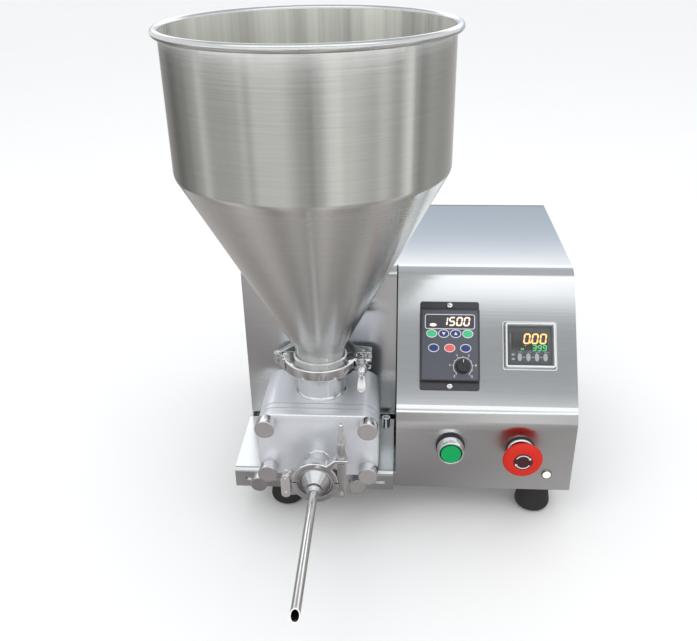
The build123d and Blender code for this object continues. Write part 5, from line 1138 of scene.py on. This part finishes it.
# An arch gives the folds their light lines: (angle, level, blue), 0 behind, 90 above and 180 in front
ARCH_R = 1.3
ARCH_HALF = 0.9
ARCH = ((0, 0.62, 1), (19, 0.66, 1), (22, 0.72, 1), (24.3, 0.86, 0.8), (25.6, 1.1, 0.4), (26.6, 1.7, 0),
        (44, 1.7, 0), (51, 0.72, 0.4), (70, 0.66, 0.3), (94, 0.68, 0.2), (102, 1.7, 0), (124, 1.7, 0),
        (127, 0.52, 0.1), (136, 0.5, 0.1), (140, 1.6, 0), (149, 1.6, 0), (153, 0.7, 0), (158, 1.1, 0),
        (163, 1, 0), (169, 0.5, 0), (180, 0.4, 0))
arch_points = [(-ARCH_HALF, *spot(ARCH_R, math.radians(3 + 2.9 * k))) for k in range(61)]
arch_glow = banded_glow("arch_glow", "Z", "Y", 1.7, ARCH)
card("studio_arch", *wall_of(arch_points, (2 * ARCH_HALF, 0, 0)), arch_glow, (0, 0, 0.15))

# A disc on the floor keeps the undersides at a middle tone; it darkens towards its middle as a painted
# shadow of the machine in the reflected floor
SHADOW_FADE = ((0, 0.24), (0.12, 0.3), (0.25, 0.42), (0.5, 0.52), (1, 0.55))
RAYS = ((-180, 0.8), (-150, 1.3), (-124, 0.75), (-106, 1.15), (-91, 0.8), (-74, 1.35), (-58, 0.95),
        (-40, 0.8), (-15, 1.2), (14, 0.7), (60, 1), (120, 1.1), (180, 0.8))
disc_points = [(*spot(RING_R, angle), 0) for angle in around(64)]
disc_glow = fading_glow("disc_glow", SHADOW_FADE, RAYS)
card("studio_disc", disc_points, [list(range(len(disc_points)))], disc_glow, (*RING_AT[:2], 0.0015))


def soft_lamp(name, at, towards, size, power):
    data = bpy.data.lights.new(name, "AREA")
    data.shape = "SQUARE"
    data.size = size
    data.energy = power
    obj = added(name, data)
    obj.location = at
    obj.rotation_euler = (Vector(towards) - Vector(at)).to_track_quat("-Z", "Y").to_euler()
    obj.visible_glossy = False


soft_lamp("key", (-1, -1.2, 1.9), (0, 0, 0.2), 1.2, 7)
soft_lamp("fill", (1.4, -1, 1.6), (0, 0, 0.2), 1.2, 4)
soft_lamp("top", (0, 0.4, 2.2), (0, 0.1, 0.2), 1.6, 5)

# World: plain white where it is seen or mirrored, and a soft light elsewhere
world = Net(bpy.data.worlds.new("studio"))
scene.world = world.owner
seen = world.nodes["Background"]
world.feed(seen, {"Color": (1, 1, 1, 1), "Strength": 1})
soft = world.add("Background", Color=(0.98, 0.99, 1, 1), Strength=1.06)
rays = world.add("LightPath").outputs
share = rays["Is Camera Ray"]
for ray in ("Is Glossy Ray", "Is Transmission Ray"):
    share = world.add("Math", share, rays[ray], operation="MAXIMUM").outputs[0]
mixed = world.add("MixShader", share, soft.outputs[0], seen.outputs[0])
world.feed(world.nodes["World Output"], {"Surface": mixed.outputs[0]})

# Camera, from the perspective fit of the photograph
CAMERA_AT = (0.01275, -0.7138, 0.593)
heading = Matrix.Rotation(math.radians(3.97), 4, "Z")
pitch = Matrix.Rotation(math.radians(90 - 27.54), 4, "X")
roll = Matrix.Rotation(math.radians(-1.01), 4, "Z")
camera_data = bpy.data.cameras.new("camera")
camera_data.lens = 40.7
camera_data.sensor_width = 36
camera_data.sensor_fit = "HORIZONTAL"
camera_data.clip_start = 0.01
camera = added("camera", camera_data)
camera.matrix_world = Matrix.Translation(CAMERA_AT) @ heading @ pitch @ roll
scene.camera = camera
